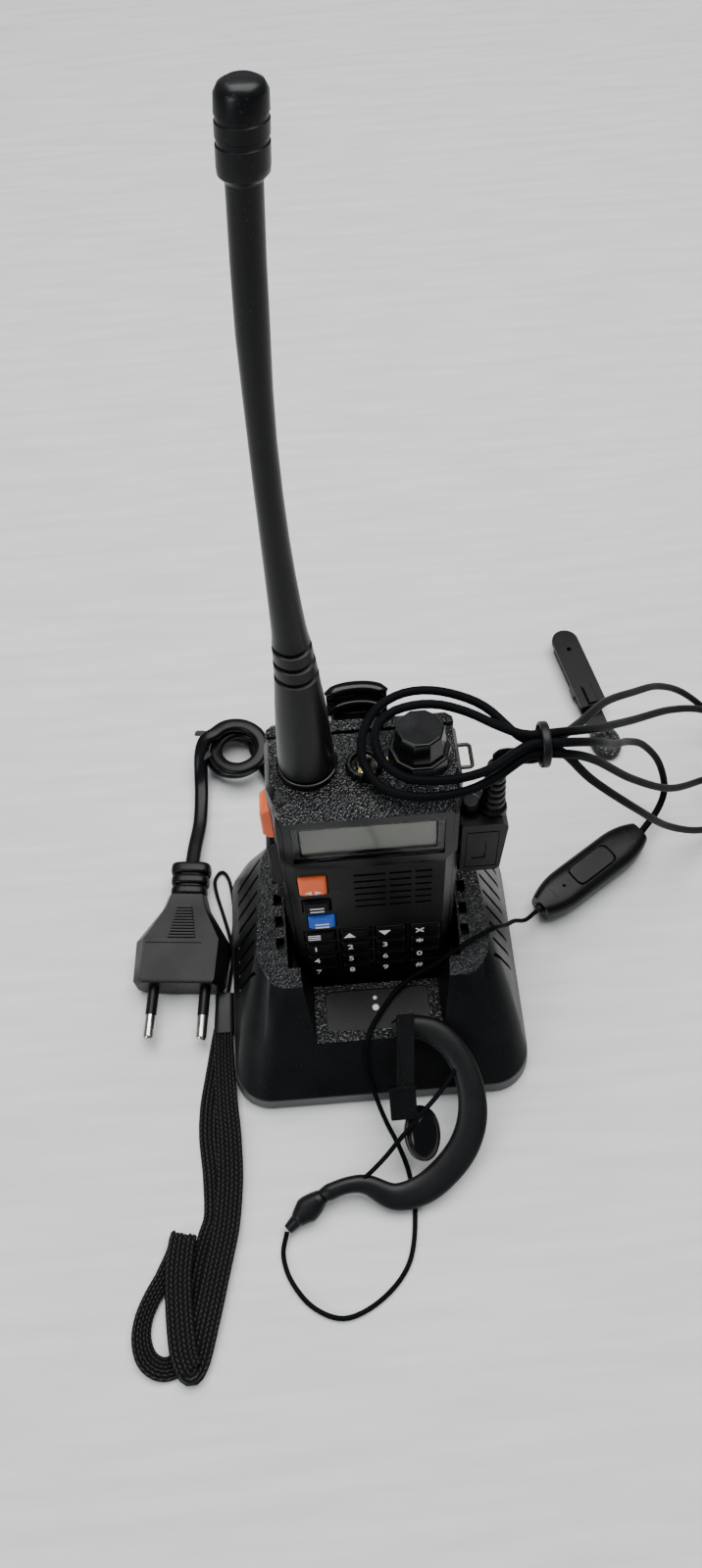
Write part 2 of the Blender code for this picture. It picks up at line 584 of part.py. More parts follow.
def headset_route():
    """From the side plug, through the tie, twice round the knob and out to the microphone."""
    outer_loop = [(36.0, 10.0, 117.0), (28.5, 16.2, 116.3), (20.3, 19.2, 116.0), (12.5, 18.9, 115.6),
                  (5.8, 15.0, 115.2), (1.5, 8.5, 114.8), (-0.2, 0.5, 114.8), (0.8, -6.7, 114.6),
                  (4.6, -11.8, 112.9), (11.0, -14.8, 112.2), (19.0, -15.7, 112.2), (28.0, -15.0, 113.0),
                  (36.5, -11.8, 114.3)]
    inner_loop = [(38.0, 0.6, 120.0), (30.5, 6.8, 119.4), (23.0, 11.3, 118.4), (15.8, 12.6, 117.6),
                  (8.8, 10.9, 117.0), (4.5, 5.8, 116.9), (3.9, -0.5, 116.9), (6.0, -6.9, 116.4),
                  (11.3, -11.4, 115.8), (18.2, -13.0, 115.8), (26.0, -13.3, 116.4), (34.5, -11.8, 117.8)]
    far_lobe = [(67.0, 16.5, 104.0), (87.0, 21.0, 74.0), (106.0, 30.5, 41.0), (126.0, 40.5, 15.0),
                (139.0, 49.0, 5.0), (149.0, 60.0, 2.5), (154.0, 74.0, 3.0), (149.0, 86.0, 7.0),
                (138.0, 92.0, 18.0), (124.0, 89.0, 36.0), (109.0, 79.0, 56.0), (93.0, 63.0, 78.0),
                (77.0, 46.5, 99.0), (64.0, 30.0, 115.0)]
    near_lobe = [(66.0, 18.5, 113.0), (85.0, 28.0, 82.0), (106.0, 39.5, 52.0), (126.0, 54.0, 29.0),
                 (139.0, 62.0, 20.0), (144.0, 71.0, 21.0), (138.0, 78.0, 31.0), (126.0, 74.0, 46.0),
                 (108.0, 63.0, 65.0), (86.0, 44.0, 91.0), (68.0, 27.0, 116.0)]
    lead = [(66.0, 20.0, 120.0), (78.0, 33.0, 96.0), (89.0, 47.0, 73.0), (100.0, 57.0, 53.0),
            (110.5, 61.0, 33.0), (116.0, 59.0, 16.0), (114.0, 54.0, 8.0)]
    route = [on_radio(BOOT_X, 0.0, BOOT_TOP + 2 * GAP), on_radio(BOOT_X, 0.0, BOOT_TOP + 4.0),
             on_radio(40.6, -2.4, 112.0)]
    route += through_tie(-90, True) + far_lobe + through_tie(-18, False)
    route += [on_radio(*p) for p in outer_loop]
    route += through_tie(198, True) + near_lobe + through_tie(54, False)
    route += [on_radio(*p) for p in inner_loop]
    return route + through_tie(126, True) + lead + [capsule_end(1)]


def capsule_end(side):
    """Where a lead meets the capsule: side 1 is the far end, -1 the near end."""
    reach = 26.5 + GAP
    return CAPSULE_CENTRE + side * reach * Vector((math.cos(CAPSULE_TURN), math.sin(CAPSULE_TURN), 0))


def ear_route():
    """Over the charger's right side, down its front, along the surface and into the ear hook."""
    return [capsule_end(-1), (56.5, 12.5, 9.5), (50.6, 7.5, 22.0), (46.2, 2.5, 31.5), (41.0, -1.6, 40.0),
            (36.0, -4.2, 41.4), (30.0, -7.0, 41.0), (25.2, -9.2, 39.8), (21.5, -10.2, 35.5),
            (17.0, -10.6, 30.0), (11.6, -11.8, 25.2), (5.8, -16.0, 23.8), (0.9, -22.0, 23.5),
            (-2.6, -27.0, 23.7), (-4.5, -31.6, 23.3), (-5.3, -35.4, 20.2), (-5.3, -39.4, 16.2),
            (-4.4, -43.0, 12.7), (-3.0, -46.8, 9.2), (-1.5, -50.6, 4.8), (0.6, -55.5, 1.8),
            (3.4, -62.0, 1.3), (6.0, -71.0, 1.2), (6.8, -83.0, 1.2), (3.6, -98.0, 1.2), (-5.6, -108.0, 1.2),
            (-17.7, -113.0, 1.2), (-27.7, -109.5, 1.2), (-34.5, -101.5, 1.2), (-37.0, -93.3, 1.6),
            hook_point(-35.4, -35.0)]


def hook_point(u, v, height=0.0):
    """A place on the ear hook's own plane, which leans on the charger's front."""
    local = Vector((u - HOOK_CENTRE.x, v, height))
    return HOOK_CENTRE + Matrix.Rotation(HOOK_TILT, 3, 'X') @ local


def build_headset():
    plug = prism("headset_plug", [(PLUG_X[0], PLUG_Z[0] + 1.0), (PLUG_X[0] + 1.0, PLUG_Z[0]),
                                  (PLUG_X[1] - 2.6, PLUG_Z[0]), (PLUG_X[1] - 1.4, PLUG_Z[0] + 1.4),
                                  (PLUG_X[1], PLUG_Z[1] - 2.0), (PLUG_X[1] - 1.6, PLUG_Z[1]),
                                  (PLUG_X[0], PLUG_Z[1])], 'Y', -6.5, 6.5, SHELL, radio_frame)
    bevel(plug, 0.8)
    bm = bmesh.new()
    add_cylinder(bm, (BOOT_X, 0, (BOOT_TOP + PLUG_Z[1]) / 2 - 0.5), 3.6, BOOT_TOP - PLUG_Z[1] + 1.0,
                 sides=14, top_radius=3.0)
    boolean(plug, new_object("headset_boot", bm, parent=radio_frame), 'UNION')
    bm = bmesh.new()
    add_cylinder(bm, (31.6, 0, 82.8), 3.0, 8.0, sides=14)
    boolean(plug, new_object("headset_collar", bm, parent=radio_frame), 'UNION')
    bm = bmesh.new()
    add_cylinder(bm, (23.0, 0, 77.0), 1.75, 14, 'X', 12)
    add_cylinder(bm, (23.0, 0, 65.0), 1.25, 14, 'X', 12)
    boolean(plug, new_object("headset_pins", bm, parent=radio_frame), 'UNION')

    tube("headset_cord", headset_route(), CABLE, 96, CABLE_SKIN)
    tube("ear_lead", ear_route(), EAR_CABLE, 60, CABLE_SKIN)

    bm = bmesh.new()
    add_cylinder(bm, TIE, 6.5, 3.2, 'X', 18)
    tie = new_object("cable_tie", bm, RUBBER, radio_frame)
    bm = bmesh.new()
    add_cylinder(bm, TIE, 5.2, 10, 'X', 18)
    boolean(tie, new_object("tie_bore", bm, parent=radio_frame))
    tail = Matrix.Rotation(math.radians(-25), 4, 'Y')
    bm = bmesh.new()
    add_box(bm, (-9.5, 0.8), (-1.5, 1.5), (-0.6, 0.6), tail)
    bmesh.ops.translate(bm, verts=bm.verts, vec=TIE - Vector((0, 0, 5.9)))
    boolean(tie, new_object("tie_tail", bm, parent=radio_frame), 'UNION')

    capsule_frame = empty("capsule_frame", CAPSULE_CENTRE, (0, 0, CAPSULE_TURN))
    bm = bmesh.new()
    add_prism(bm, rounded(24.6, -7.6, 7.6, 5.0, 3), 'Z', -5.9, 5.6)
    capsule = new_object("mic_capsule", bm, SHELL, capsule_frame)
    bevel(capsule, 1.6, 2)
    bm = bmesh.new()
    add_cylinder(bm, (0, 0, 0), 2.3, 53.0, 'X', 12)
    boolean(capsule, new_object("capsule_boots", bm, parent=capsule_frame), 'UNION')
    boolean(capsule, box("capsule_button_well", (-9.3, 9.3), (-4.3, 4.3), (3.4, 9.0),
                         parent=capsule_frame))
    button = box("mic_button", (-9.0, 9.0), (-4.0, 4.0), (4.4, 6.6), RUBBER, capsule_frame, (0, 0, 5.5))
    bevel(button, 0.6)

    build_ear_hook()
    build_lapel_clip()


def ribbon(bm, line, low, high):
    """A flat strip of varying width along a line of (u, v, width)."""
    left, right = [], []
    for i, (u, v, width) in enumerate(line):
        before, after = line[max(i - 1, 0)], line[min(i + 1, len(line) - 1)]
        along = Vector((after[0] - before[0], after[1] - before[1])).normalized()
        left.append((u - along.y * width / 2, v + along.x * width / 2))
        right.append((u + along.y * width / 2, v - along.x * width / 2))
    add_prism(bm, left + right[::-1], 'Z', low, high)


def build_ear_hook():
    hook_frame = empty("hook_frame", HOOK_CENTRE, (HOOK_TILT, 0, 0))
    line = [(4.0, 27.0, 7.0), (11.0, 27.2, 7.6), (18.5, 24.4, 8.6), (24.6, 17.4, 8.4), (28.0, 8.0, 8.6),
            (28.2, -2.5, 9.6), (25.0, -11.5, 9.8), (18.8, -19.0, 9.8), (10.2, -25.0, 9.8),
            (0.6, -26.8, 8.8), (-8.0, -22.4, 6.4), (-14.0, -21.9, 5.2), (-20.0, -23.4, 5.2),
            (-24.0, -25.2, 8.0), (-27.2, -27.6, 8.0), (-30.4, -30.4, 4.6), (-35.0, -34.4, 3.0)]
    line = [(u - HOOK_CENTRE.x, v, width) for u, v, width in line]
    bm = bmesh.new()
    ribbon(bm, line, -1.8, 1.8)
    hook = new_object("ear_hook", bm, RUBBER, hook_frame)
    bevel(hook, 0.7)

    pivot = (3.6, 27.0, 4.2)
    bm = bmesh.new()
    ribbon(bm, [(3.6, 31.5, 5.8), (1.3, 5.0, 5.8)], 2.1, 6.2)
    speaker = new_object("ear_speaker", bm, SHELL, hook_frame, pivot)
    bm = bmesh.new()
    add_box(bm, (-3.6, 4.6), (0.6, 8.8), (0.6, 7.4))
    boolean(speaker, new_object("ear_speaker_block", bm, parent=hook_frame), 'UNION')
    bm = bmesh.new()
    add_cylinder(bm, (0, 0, 0), 6.3, 8.0, sides=18)
    bmesh.ops.scale(bm, verts=bm.verts, vec=(1.0, 1.5, 1.0))
    bmesh.ops.translate(bm, verts=bm.verts, vec=(5.6, -7.0, 2.8))
    boolean(speaker, new_object("ear_speaker_bud", bm, parent=hook_frame), 'UNION')


def build_lapel_clip():
    clip_frame = empty("clip_frame", CLIP_CENTRE, (0, 0, CLIP_TURN))
    base = box("lapel_clip_base", (-22.0, 24.0), (-4.2, 4.2), (0.6, 2.2), SHELL, clip_frame)
    bm = bmesh.new()
    add_cylinder(bm, (0, 0, 0), 6.0, 3.2, sides=16)
    bmesh.ops.scale(bm, verts=bm.verts, vec=(1.3, 1.0, 1.0))
    bmesh.ops.translate(bm, verts=bm.verts, vec=(29.0, 0, 2.2))
    boolean(base, new_object("lapel_clip_pad", bm, parent=clip_frame), 'UNION')
    boolean(base, box("lapel_clip_knuckle", (2.0, 6.0), (-4.2, 4.2), (1.8, 5.4), parent=clip_frame),
            'UNION')

    lever = box("lapel_clip_lever", (-25.0, 14.0), (-5.5, 5.5), (6.0, 7.6), SHELL, clip_frame,
                (4.0, 0, 4.0))
    bm = bmesh.new()
    add_box(bm, (1.6, 6.4), (4.5, 5.5), (2.6, 6.6))
    add_box(bm, (1.6, 6.4), (-5.5, -4.5), (2.6, 6.6))
    boolean(lever, new_object("lapel_clip_ears", bm, parent=clip_frame), 'UNION')
    boolean(lever, box("lapel_clip_nose", (-25.0, -22.6), (-5.5, 5.5), (2.6, 6.8), parent=clip_frame),
            'UNION')
    bm = bmesh.new()
    add_cylinder(bm, (-15.0, 0, 7), 2.0, 8, sides=12)
    boolean(lever, new_object("lapel_clip_eye", bm, parent=clip_frame))


# ---------------------------------------------------------------- mains lead and strap
def mains_route():
    """From the plug's boot into a small uneven coil behind the dock and on to the gland."""
    turns, steps, drop = 2.42, 22, 11.8
    ring = []
    for i in range(steps + 1):
        share = i / steps
        angle = math.radians(150.0) - turns * 2 * math.pi * share
        stray = math.sin(5.0 * share)
        ring.append(Vector((-47.5 + 1.6 * stray + 9.6 * math.cos(angle),
                            95.0 - 1.2 * stray + 9.2 * math.sin(angle), 14.6 - drop * share)))
    exit_point = PLUG_EXIT + Vector((0, GAP, 0))
    return ([exit_point, exit_point + Vector((0.9, 8.0, -1.2)), (-62.8, 66.0, 4.2), (-62.2, 78.0, 4.2),
             (-62.0, 86.0, 6.6), (-61.2, 93.0, 11.4), (-59.2, 97.6, 14.0)]
            + ring + [(-34.4, 84.0, 2.9), (-29.6, 75.0, 3.3), (-25.2, 67.0, 4.4),
                      (-24.0, DOCK_HALF_DEPTH + 12.0 + 3 * GAP, 5.0)])


def build_mains_lead():
    tube("mains_cord", mains_route(), MAINS_CABLE, 70, CABLE_SKIN)
    plug_frame = empty("plug_frame", PLUG_EXIT, (0, 0, PLUG_TURN))
    side = [(-17.0, -2.6), (-13.6, -6.6), (13.6, -6.6), (17.0, -2.6), (17.0, 2.6), (13.6, 6.6),
            (-13.6, 6.6), (-17.0, 2.6)]
    body = [(-48.5, 0.90), (-44.0, 1.0), (-32.0, 1.0), (-19.0, 0.50), (-15.0, 0.40)]
    bm = bmesh.new()
    rings = []
    for y, share in body:
        rings.append([bm.verts.new((x * share, y, z * (1.0 if share > 0.8 else 0.78))) for x, z in side])
    skin(bm, rings)
    plug = new_object("mains_plug", bm, SHELL, plug_frame)
    boolean(plug, plug_boot(plug_frame), 'UNION')
    bm = bmesh.new()
    for x in (-9.3, 9.3):
        add_cylinder(bm, (x, -57.5, 0), 2.0, 20.0, 'Y', 12)
    boolean(plug, new_object("plug_pins", bm, parent=plug_frame), 'UNION')


def plug_boot(plug_frame):
    outline = [(-5.8, -16.0)]
    for i in (2, 1, 0):
        outline += [(-5.8, -4.6 * i - 4.0), (-7.1, -4.6 * i - 4.0), (-7.1, -4.6 * i - 0.2),
                    (-5.8, -4.6 * i - 0.2)]
    outline += [(-x, y) for x, y in reversed(outline)]
    return prism("plug_boot", outline, 'Z', -4.4, 4.4, parent=plug_frame)


def build_strap():
    outline = [(-58.6, -26.0), (-52.6, -26.0), (-51.4, -52.0), (-51.4, -84.0), (-56.0, -99.0),
               (-60.5, -124.0), (-64.0, -127.0), (-83.0, -127.0), (-88.0, -119.0), (-78.0, -98.0),
               (-75.0, -83.0), (-66.0, -82.0), (-61.0, -52.0)]
    strap = prism("wrist_strap", outline, 'Z', 0.3, 5.5, WEBBING)
    bevel(strap, 0.8)


radio_frame = empty("radio_frame", SEAT, (-LEAN, 0, 0))
build_dock()
build_housing()
build_inside()
build_keys()
build_top()
build_belt_clip()
build_strap_ring()
build_headset()
build_mains_lead()
build_strap()
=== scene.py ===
"""The looks of a handheld two-way radio in its charger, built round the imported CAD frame.

Places are in millimetres and become metres in piece(). LEVEL is the shared frame (+Z up, the
charger's underside at 0). UPRIGHT is the radio's own frame, x right, -y front, z up from the
battery's underside, leaned back and seated in the charger.
"""
import json
import math

import bmesh
import bpy
from mathutils import Matrix, Vector

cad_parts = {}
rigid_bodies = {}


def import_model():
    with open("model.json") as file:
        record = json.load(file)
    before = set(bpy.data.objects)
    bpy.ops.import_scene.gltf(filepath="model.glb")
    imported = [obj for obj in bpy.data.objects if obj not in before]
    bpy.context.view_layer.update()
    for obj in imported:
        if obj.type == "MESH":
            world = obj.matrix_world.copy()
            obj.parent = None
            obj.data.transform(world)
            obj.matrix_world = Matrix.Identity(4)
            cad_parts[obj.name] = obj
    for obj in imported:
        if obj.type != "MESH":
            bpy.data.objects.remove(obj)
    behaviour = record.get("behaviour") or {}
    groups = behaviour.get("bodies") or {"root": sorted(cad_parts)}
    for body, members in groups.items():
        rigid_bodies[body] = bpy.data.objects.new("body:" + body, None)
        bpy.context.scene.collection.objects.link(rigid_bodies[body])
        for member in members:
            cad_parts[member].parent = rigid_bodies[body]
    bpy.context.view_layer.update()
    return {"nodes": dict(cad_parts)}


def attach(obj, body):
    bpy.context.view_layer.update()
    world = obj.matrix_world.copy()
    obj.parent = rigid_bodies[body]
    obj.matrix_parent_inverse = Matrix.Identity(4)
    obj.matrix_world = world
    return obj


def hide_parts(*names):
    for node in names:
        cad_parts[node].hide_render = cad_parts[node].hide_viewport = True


for old in list(bpy.data.objects):
    bpy.data.objects.remove(old)
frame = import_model()

MM = 0.001
UP = Vector((0, 0, 1))
LEVEL = Matrix.Identity(4)
LEAN = math.radians(7.3)
SEAT = Vector((0.0, 5.5, 11.2))
UPRIGHT = Matrix.Translation(SEAT) @ Matrix.Rotation(-LEAN, 4, 'X')

HOOK_CENTRE = Vector((5.0, -54.0, 16.4))
HOOK = Matrix.Translation(HOOK_CENTRE) @ Matrix.Rotation(math.radians(22.5), 4, 'X')
CAPSULE_TURN = math.radians(33.0)
CAPSULE_CENTRE = Vector((84.0, 31.3, 6.6))
CAPSULE = Matrix.Translation(CAPSULE_CENTRE) @ Matrix.Rotation(CAPSULE_TURN, 4, 'Z')
LAPEL = Matrix.Translation((96.0, 118.0, 0.0)) @ Matrix.Rotation(math.radians(-79.0), 4, 'Z')
PLUG_EXIT = Vector((-65.5, 46.0, 7.0))
PLUG = Matrix.Translation(PLUG_EXIT) @ Matrix.Rotation(math.radians(-5.5), 4, 'Z')
TIE = Vector((49.5, -4.5, 117.0))
TIE_SPREAD = 3.1
BOOT_X = 38.2
BOOT_TOP = 104.0
GLAND_MOUTH = Vector((-24.0, 58.9, 5.0))
CABLE = 2.6
EAR_CABLE = 1.6
MAINS_CABLE = 5.4
STRING = 1.3


# ================================================================ camera
def place_camera():
    """A phone held above the front of the charger, looking steeply down."""
    pitch, yaw, roll = (math.radians(a) for a in (60.57, 0.92, -3.67))
    forward = Vector((math.sin(yaw) * math.cos(pitch), math.cos(yaw) * math.cos(pitch), -math.sin(pitch)))
    right = Vector((math.cos(yaw), -math.sin(yaw), 0.0))
    up = right.cross(forward)
    tilted = math.cos(roll) * right + math.sin(roll) * up
    upward = math.cos(roll) * up - math.sin(roll) * right
    data = bpy.data.cameras.new("camera")
    data.sensor_width = 36.0
    data.lens = 25.43
    data.clip_start = 0.01
    camera = bpy.data.objects.new("camera", data)
    bpy.context.scene.collection.objects.link(camera)
    turn = Matrix((tilted, upward, -forward)).transposed().to_4x4()
    camera.matrix_world = Matrix.Translation(Vector((-6.15, -138.46, 387.84)) * MM) @ turn
    bpy.context.scene.camera = camera


# ================================================================ materials
def new_material(name, colour, roughness, metallic=0.0, **sockets):
    mat = bpy.data.materials.new(name)
    mat.use_nodes = True
    shader = mat.node_tree.nodes["Principled BSDF"]
    shader.inputs["Base Color"].default_value = (*colour, 1.0)
    shader.inputs["Roughness"].default_value = roughness
    shader.inputs["Metallic"].default_value = metallic
    for socket, value in sockets.items():
        shader.inputs[socket.replace("_", " ")].default_value = value
    return mat


def add_node(mat, kind, inputs=None, **settings):
    """Adds a shader node; inputs maps socket names to values or to other nodes' outputs."""
    made = mat.node_tree.nodes.new("ShaderNode" + kind)
    for key, value in settings.items():
        setattr(made, key, value)
    for key, value in (inputs or {}).items():
        if isinstance(value, bpy.types.NodeSocket):
            mat.node_tree.links.new(value, made.inputs[key])
        else:
            made.inputs[key].default_value = value
    return made


def link(mat, output, socket):
    mat.node_tree.links.new(output, mat.node_tree.nodes["Principled BSDF"].inputs[socket])


def noise(mat, size, detail=2.0, roughness=0.5):
    """Noise whose features are about `size` millimetres across."""
    coords = add_node(mat, "TexCoord").outputs["Object"]
    return add_node(mat, "TexNoise", {"Vector": coords, "Scale": 0.5 / (size * MM), "Detail": detail,
                                      "Roughness": roughness}).outputs["Fac"]


def spread(mat, factor, low, high, start=0.35, end=0.65):
    """Maps a 0..1 texture onto low..high between two of its levels."""
    return add_node(mat, "MapRange", {"Value": factor, "From Min": start, "From Max": end,
                                      "To Min": low, "To Max": high}).outputs["Result"]


def blend_colour(mat, factor, first, second):
    mix = add_node(mat, "Mix", data_type='RGBA')
    mat.node_tree.links.new(factor, mix.inputs["Factor"])
    for socket, value in ((mix.inputs[6], first), (mix.inputs[7], second)):
        if isinstance(value, bpy.types.NodeSocket):
            mat.node_tree.links.new(value, socket)
        else:
            socket.default_value = (*value, 1.0)
    return mix.outputs[2]


def bump(mat, height, depth, strength=1.0, normal=None):
    inputs = {"Height": height, "Distance": depth * MM, "Strength": strength}
    if normal is not None:
        inputs["Normal"] = normal
    return add_node(mat, "Bump", inputs).outputs["Normal"]


def moulded(name, colour, roughness, grain=0.25, depth=0.02, dust=0.10, **sockets):
    """Moulded plastic or rubber: a fine spark-eroded grain, handling marks and a little dust."""
    mat = new_material(name, colour, roughness, **sockets)
    marks = noise(mat, 14.0, 4.0, 0.6)
    light = tuple(c * 1.5 + 0.001 for c in colour)
    dull = blend_colour(mat, spread(mat, marks, 0.0, 0.6), colour, light)
    specks = noise(mat, 0.22, 1.0)
    dusty = spread(mat, specks, 0.0, dust, 0.70, 0.76)
    link(mat, blend_colour(mat, dusty, dull, (0.30, 0.29, 0.27)), "Base Color")
    link(mat, spread(mat, marks, roughness - 0.05, roughness + 0.08), "Roughness")
    link(mat, bump(mat, noise(mat, grain, 2.0), depth), "Normal")
    return mat


def leather_grain_glints(name, colour, roughness):
    """Moulded leather grain: pebbles under a millimetre across with narrow valleys between them. The colour
    paints a glint on each pebble top and shade in the valleys.
    """
    mat = new_material(name, colour, roughness)
    coords = add_node(mat, "TexCoord").outputs["Object"]
    wobble = add_node(mat, "TexNoise", {"Vector": coords, "Scale": 1500.0, "Detail": 1.0})
    shifted = add_node(mat, "VectorMath", {0: wobble.outputs["Color"], 1: (0.0003, 0.0003, 0.0003)},
                       operation='MULTIPLY').outputs["Vector"]
    warped = add_node(mat, "VectorMath", {0: coords, 1: shifted}, operation='ADD').outputs["Vector"]
    cells = add_node(mat, "TexVoronoi", {"Vector": warped, "Scale": 1350.0}, feature='F1')
    pebbles = spread(mat, cells.outputs["Distance"], 1.0, 0.0, 0.1, 0.75)
    fine = noise(mat, 0.12, 1.0)
    normal = bump(mat, pebbles, 0.30, 1.0, bump(mat, fine, 0.02))
    link(mat, normal, "Normal")
    # Base colour follows the pebble height: painted glints on the pebble tops and painted shade in the
    # valleys.
    link(mat, blend_colour(mat, spread(mat, pebbles, 0.0, 1.0, 0.5, 1.0), tuple(c * 0.3 for c in colour),
                           tuple(c * 3.2 for c in colour)), "Base Color")
    return mat


def brushed(name, colour, roughness):
    """Bare metal with fine streaks and patchy tarnish."""
    mat = new_material(name, colour, roughness, 1.0)
    tarnish = noise(mat, 2.5, 4.0, 0.6)
    link(mat, blend_colour(mat, spread(mat, tarnish, 0.0, 1.0), colour, tuple(c * 0.55 for c in colour)),
         "Base Color")
    link(mat, spread(mat, tarnish, roughness - 0.08, roughness + 0.12), "Roughness")
    link(mat, bump(mat, noise(mat, 0.2, 3.0), 0.01), "Normal")
    return mat


def board(name):
    """Green solder mask over copper tracks."""
    mat = new_material(name, (0.02, 0.12, 0.05), 0.35)
    coords = add_node(mat, "TexCoord").outputs["Object"]
    tracks = add_node(mat, "TexBrick", {"Vector": coords, "Scale": 160.0, "Mortar Size": 0.03})
    link(mat, blend_colour(mat, tracks.outputs["Fac"], (0.02, 0.12, 0.05), (0.05, 0.22, 0.09)), "Base Color")
    link(mat, bump(mat, tracks.outputs["Fac"], 0.04), "Normal")
    return mat


def display_face(name):
    """An unlit liquid-crystal panel: grey-olive with a faint cell pattern."""
    mat = new_material(name, (0.30, 0.30, 0.26), 0.18)
    coords = add_node(mat, "TexCoord").outputs["Object"]
    rows = add_node(mat, "TexWave", {"Vector": coords, "Scale": 420.0, "Distortion": 0.0},
                    bands_direction='X')
    shade = blend_colour(mat, rows.outputs["Fac"], (0.20, 0.20, 0.17), (0.23, 0.23, 0.20))
    link(mat, blend_colour(mat, spread(mat, noise(mat, 26.0, 1.0), 0.0, 0.8), shade, (0.13, 0.13, 0.11)),
         "Base Color")
    return mat


def woven(name):
    """Black polyester braid: glossy filament knots over gaps, by the mesh's own knot height; the colour
    paints the gaps dark as shade between the knots and the knot tops light as glints.
    """
    mat = new_material(name, (0.01, 0.01, 0.0105), 0.55, Specular_IOR_Level=0.25)
    knots = add_node(mat, "Attribute", attribute_name="knot").outputs["Fac"]
    # Painted shade in the gaps and painted glints on the knot tops, following the knot height.
    link(mat, blend_colour(mat, spread(mat, knots, 0.0, 1.0, 0.45, 1.0), (0.0002, 0.0002, 0.0003),
                           (0.012, 0.012, 0.014)), "Base Color")
    link(mat, spread(mat, knots, 0.9, 0.30, 0.2, 0.9), "Roughness")
    link(mat, bump(mat, noise(mat, 0.12, 2.0), 0.05), "Normal")
    return mat


SHELL = moulded("moulded_shell", (0.0030, 0.0031, 0.0034), 0.30, Specular_IOR_Level=0.16)
DOCK = moulded("moulded_dock", (0.0034, 0.0036, 0.0040), 0.32, 0.3, 0.02, Specular_IOR_Level=0.16)
BASE = moulded("moulded_base", (0.030, 0.031, 0.032), 0.42, 0.3, 0.02, Specular_IOR_Level=0.3)
GRAIN_GLINTS = leather_grain_glints("leather_grain_glints", (0.0070, 0.0073, 0.0078), 0.24)
GLOSS = moulded("gloss_black", (0.0016, 0.0016, 0.0020), 0.12, 1.5, 0.003, 0.03, Specular_IOR_Level=0.25)
KNOB = moulded("gloss_knob", (0.0025, 0.0026, 0.0030), 0.20, 0.8, 0.004, 0.05, Specular_IOR_Level=0.3)
KEYCAP = moulded("keycap", (0.0012, 0.0012, 0.0015), 0.34, 0.3, 0.01, 0.03, Specular_IOR_Level=0.10)
RUBBER = moulded("soft_rubber", (0.0040, 0.0040, 0.0046), 0.34, 0.35, 0.012, 0.10, Specular_IOR_Level=0.22)
HOOK_RUBBER = moulded("hook_rubber", (0.0035, 0.0036, 0.0040), 0.40, 0.3, 0.015, 0.08,
                      Specular_IOR_Level=0.25)
JACKET = moulded("cable_jacket", (0.0040, 0.0043, 0.0052), 0.36, 2.0, 0.003, 0.03, Specular_IOR_Level=0.01)
MAINS_JACKET = moulded("mains_jacket", (0.0030, 0.0030, 0.0036), 0.24, 2.0, 0.003, 0.05,
                       Specular_IOR_Level=0.15)
ORANGE = moulded("orange_plastic", (0.80, 0.125, 0.028), 0.36, 0.3, 0.015, 0.02)
BLUE = moulded("blue_plastic", (0.010, 0.085, 0.50), 0.36, 0.3, 0.015, 0.02)
INK = moulded("legend_ink", (0.75, 0.76, 0.75), 0.5, 0.2, 0.01, 0.0)
STEEL = brushed("spring_steel", (0.50, 0.49, 0.46), 0.30)
DARK_STEEL = brushed("dark_steel", (0.085, 0.078, 0.062), 0.30)
NICKEL = brushed("nickel", (0.72, 0.69, 0.64), 0.16)
BRASS = brushed("brass", (0.62, 0.45, 0.18), 0.26)
BOARD = board("solder_mask")
LCD = display_face("display_face")
WEAVE_GLINTS = woven("woven_braid_glints")
WINDOW = new_material("clear_window", (0.95, 0.96, 0.95), 0.02, Transmission_Weight=1.0, IOR=1.12)
EMITTER = new_material("led_phosphor", (0.85, 0.78, 0.25), 0.35, Emission_Strength=0.6)
EMITTER.node_tree.nodes["Principled BSDF"].inputs["Emission Color"].default_value = (0.9, 0.85, 0.35, 1.0)


# ================================================================ mesh tools
def piece(name, bm, place, body, mat, replaces=()):
    """Turns a bmesh in millimetres, modelled in `place`, into a piece that rides on a body."""
    bm.transform(Matrix.Scale(MM, 4) @ place)
    bmesh.ops.recalc_face_normals(bm, faces=bm.faces)
    mesh = bpy.data.meshes.new(name)
    bm.to_mesh(mesh)
    bm.free()
    mesh.materials.append(mat)
    obj = bpy.data.objects.new(name, mesh)
    return settle(obj, body, replaces)


def settle(obj, body, replaces=()):
    bpy.context.scene.collection.objects.link(obj)
    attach(obj, body)
    if replaces:
        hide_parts(*replaces)
    return obj


def tool(bm, place):
    """A short-lived cutter or addition for carve()."""
    bm.transform(Matrix.Scale(MM, 4) @ place)
    bmesh.ops.recalc_face_normals(bm, faces=bm.faces)
    mesh = bpy.data.meshes.new("tool")
    bm.to_mesh(mesh)
    bm.free()
    obj = bpy.data.objects.new("tool", mesh)
    bpy.context.scene.collection.objects.link(obj)
    return obj


def carve(obj, steps):
    """Applies booleans in turn; steps are (operation, bmesh, place)."""
    tools = []
    for operation, bm, place in steps:
        tools.append(tool(bm, place))
        mod = obj.modifiers.new("carve", 'BOOLEAN')
        mod.operation = operation
        mod.object = tools[-1]
        mod.solver = 'EXACT'
    apply_modifiers(obj)
    for spent in tools:
        bpy.data.objects.remove(spent)


def apply_modifiers(obj):
    graph = bpy.context.evaluated_depsgraph_get()
    baked = bpy.data.meshes.new_from_object(obj.evaluated_get(graph))
    obj.modifiers.clear()
    obj.data = baked


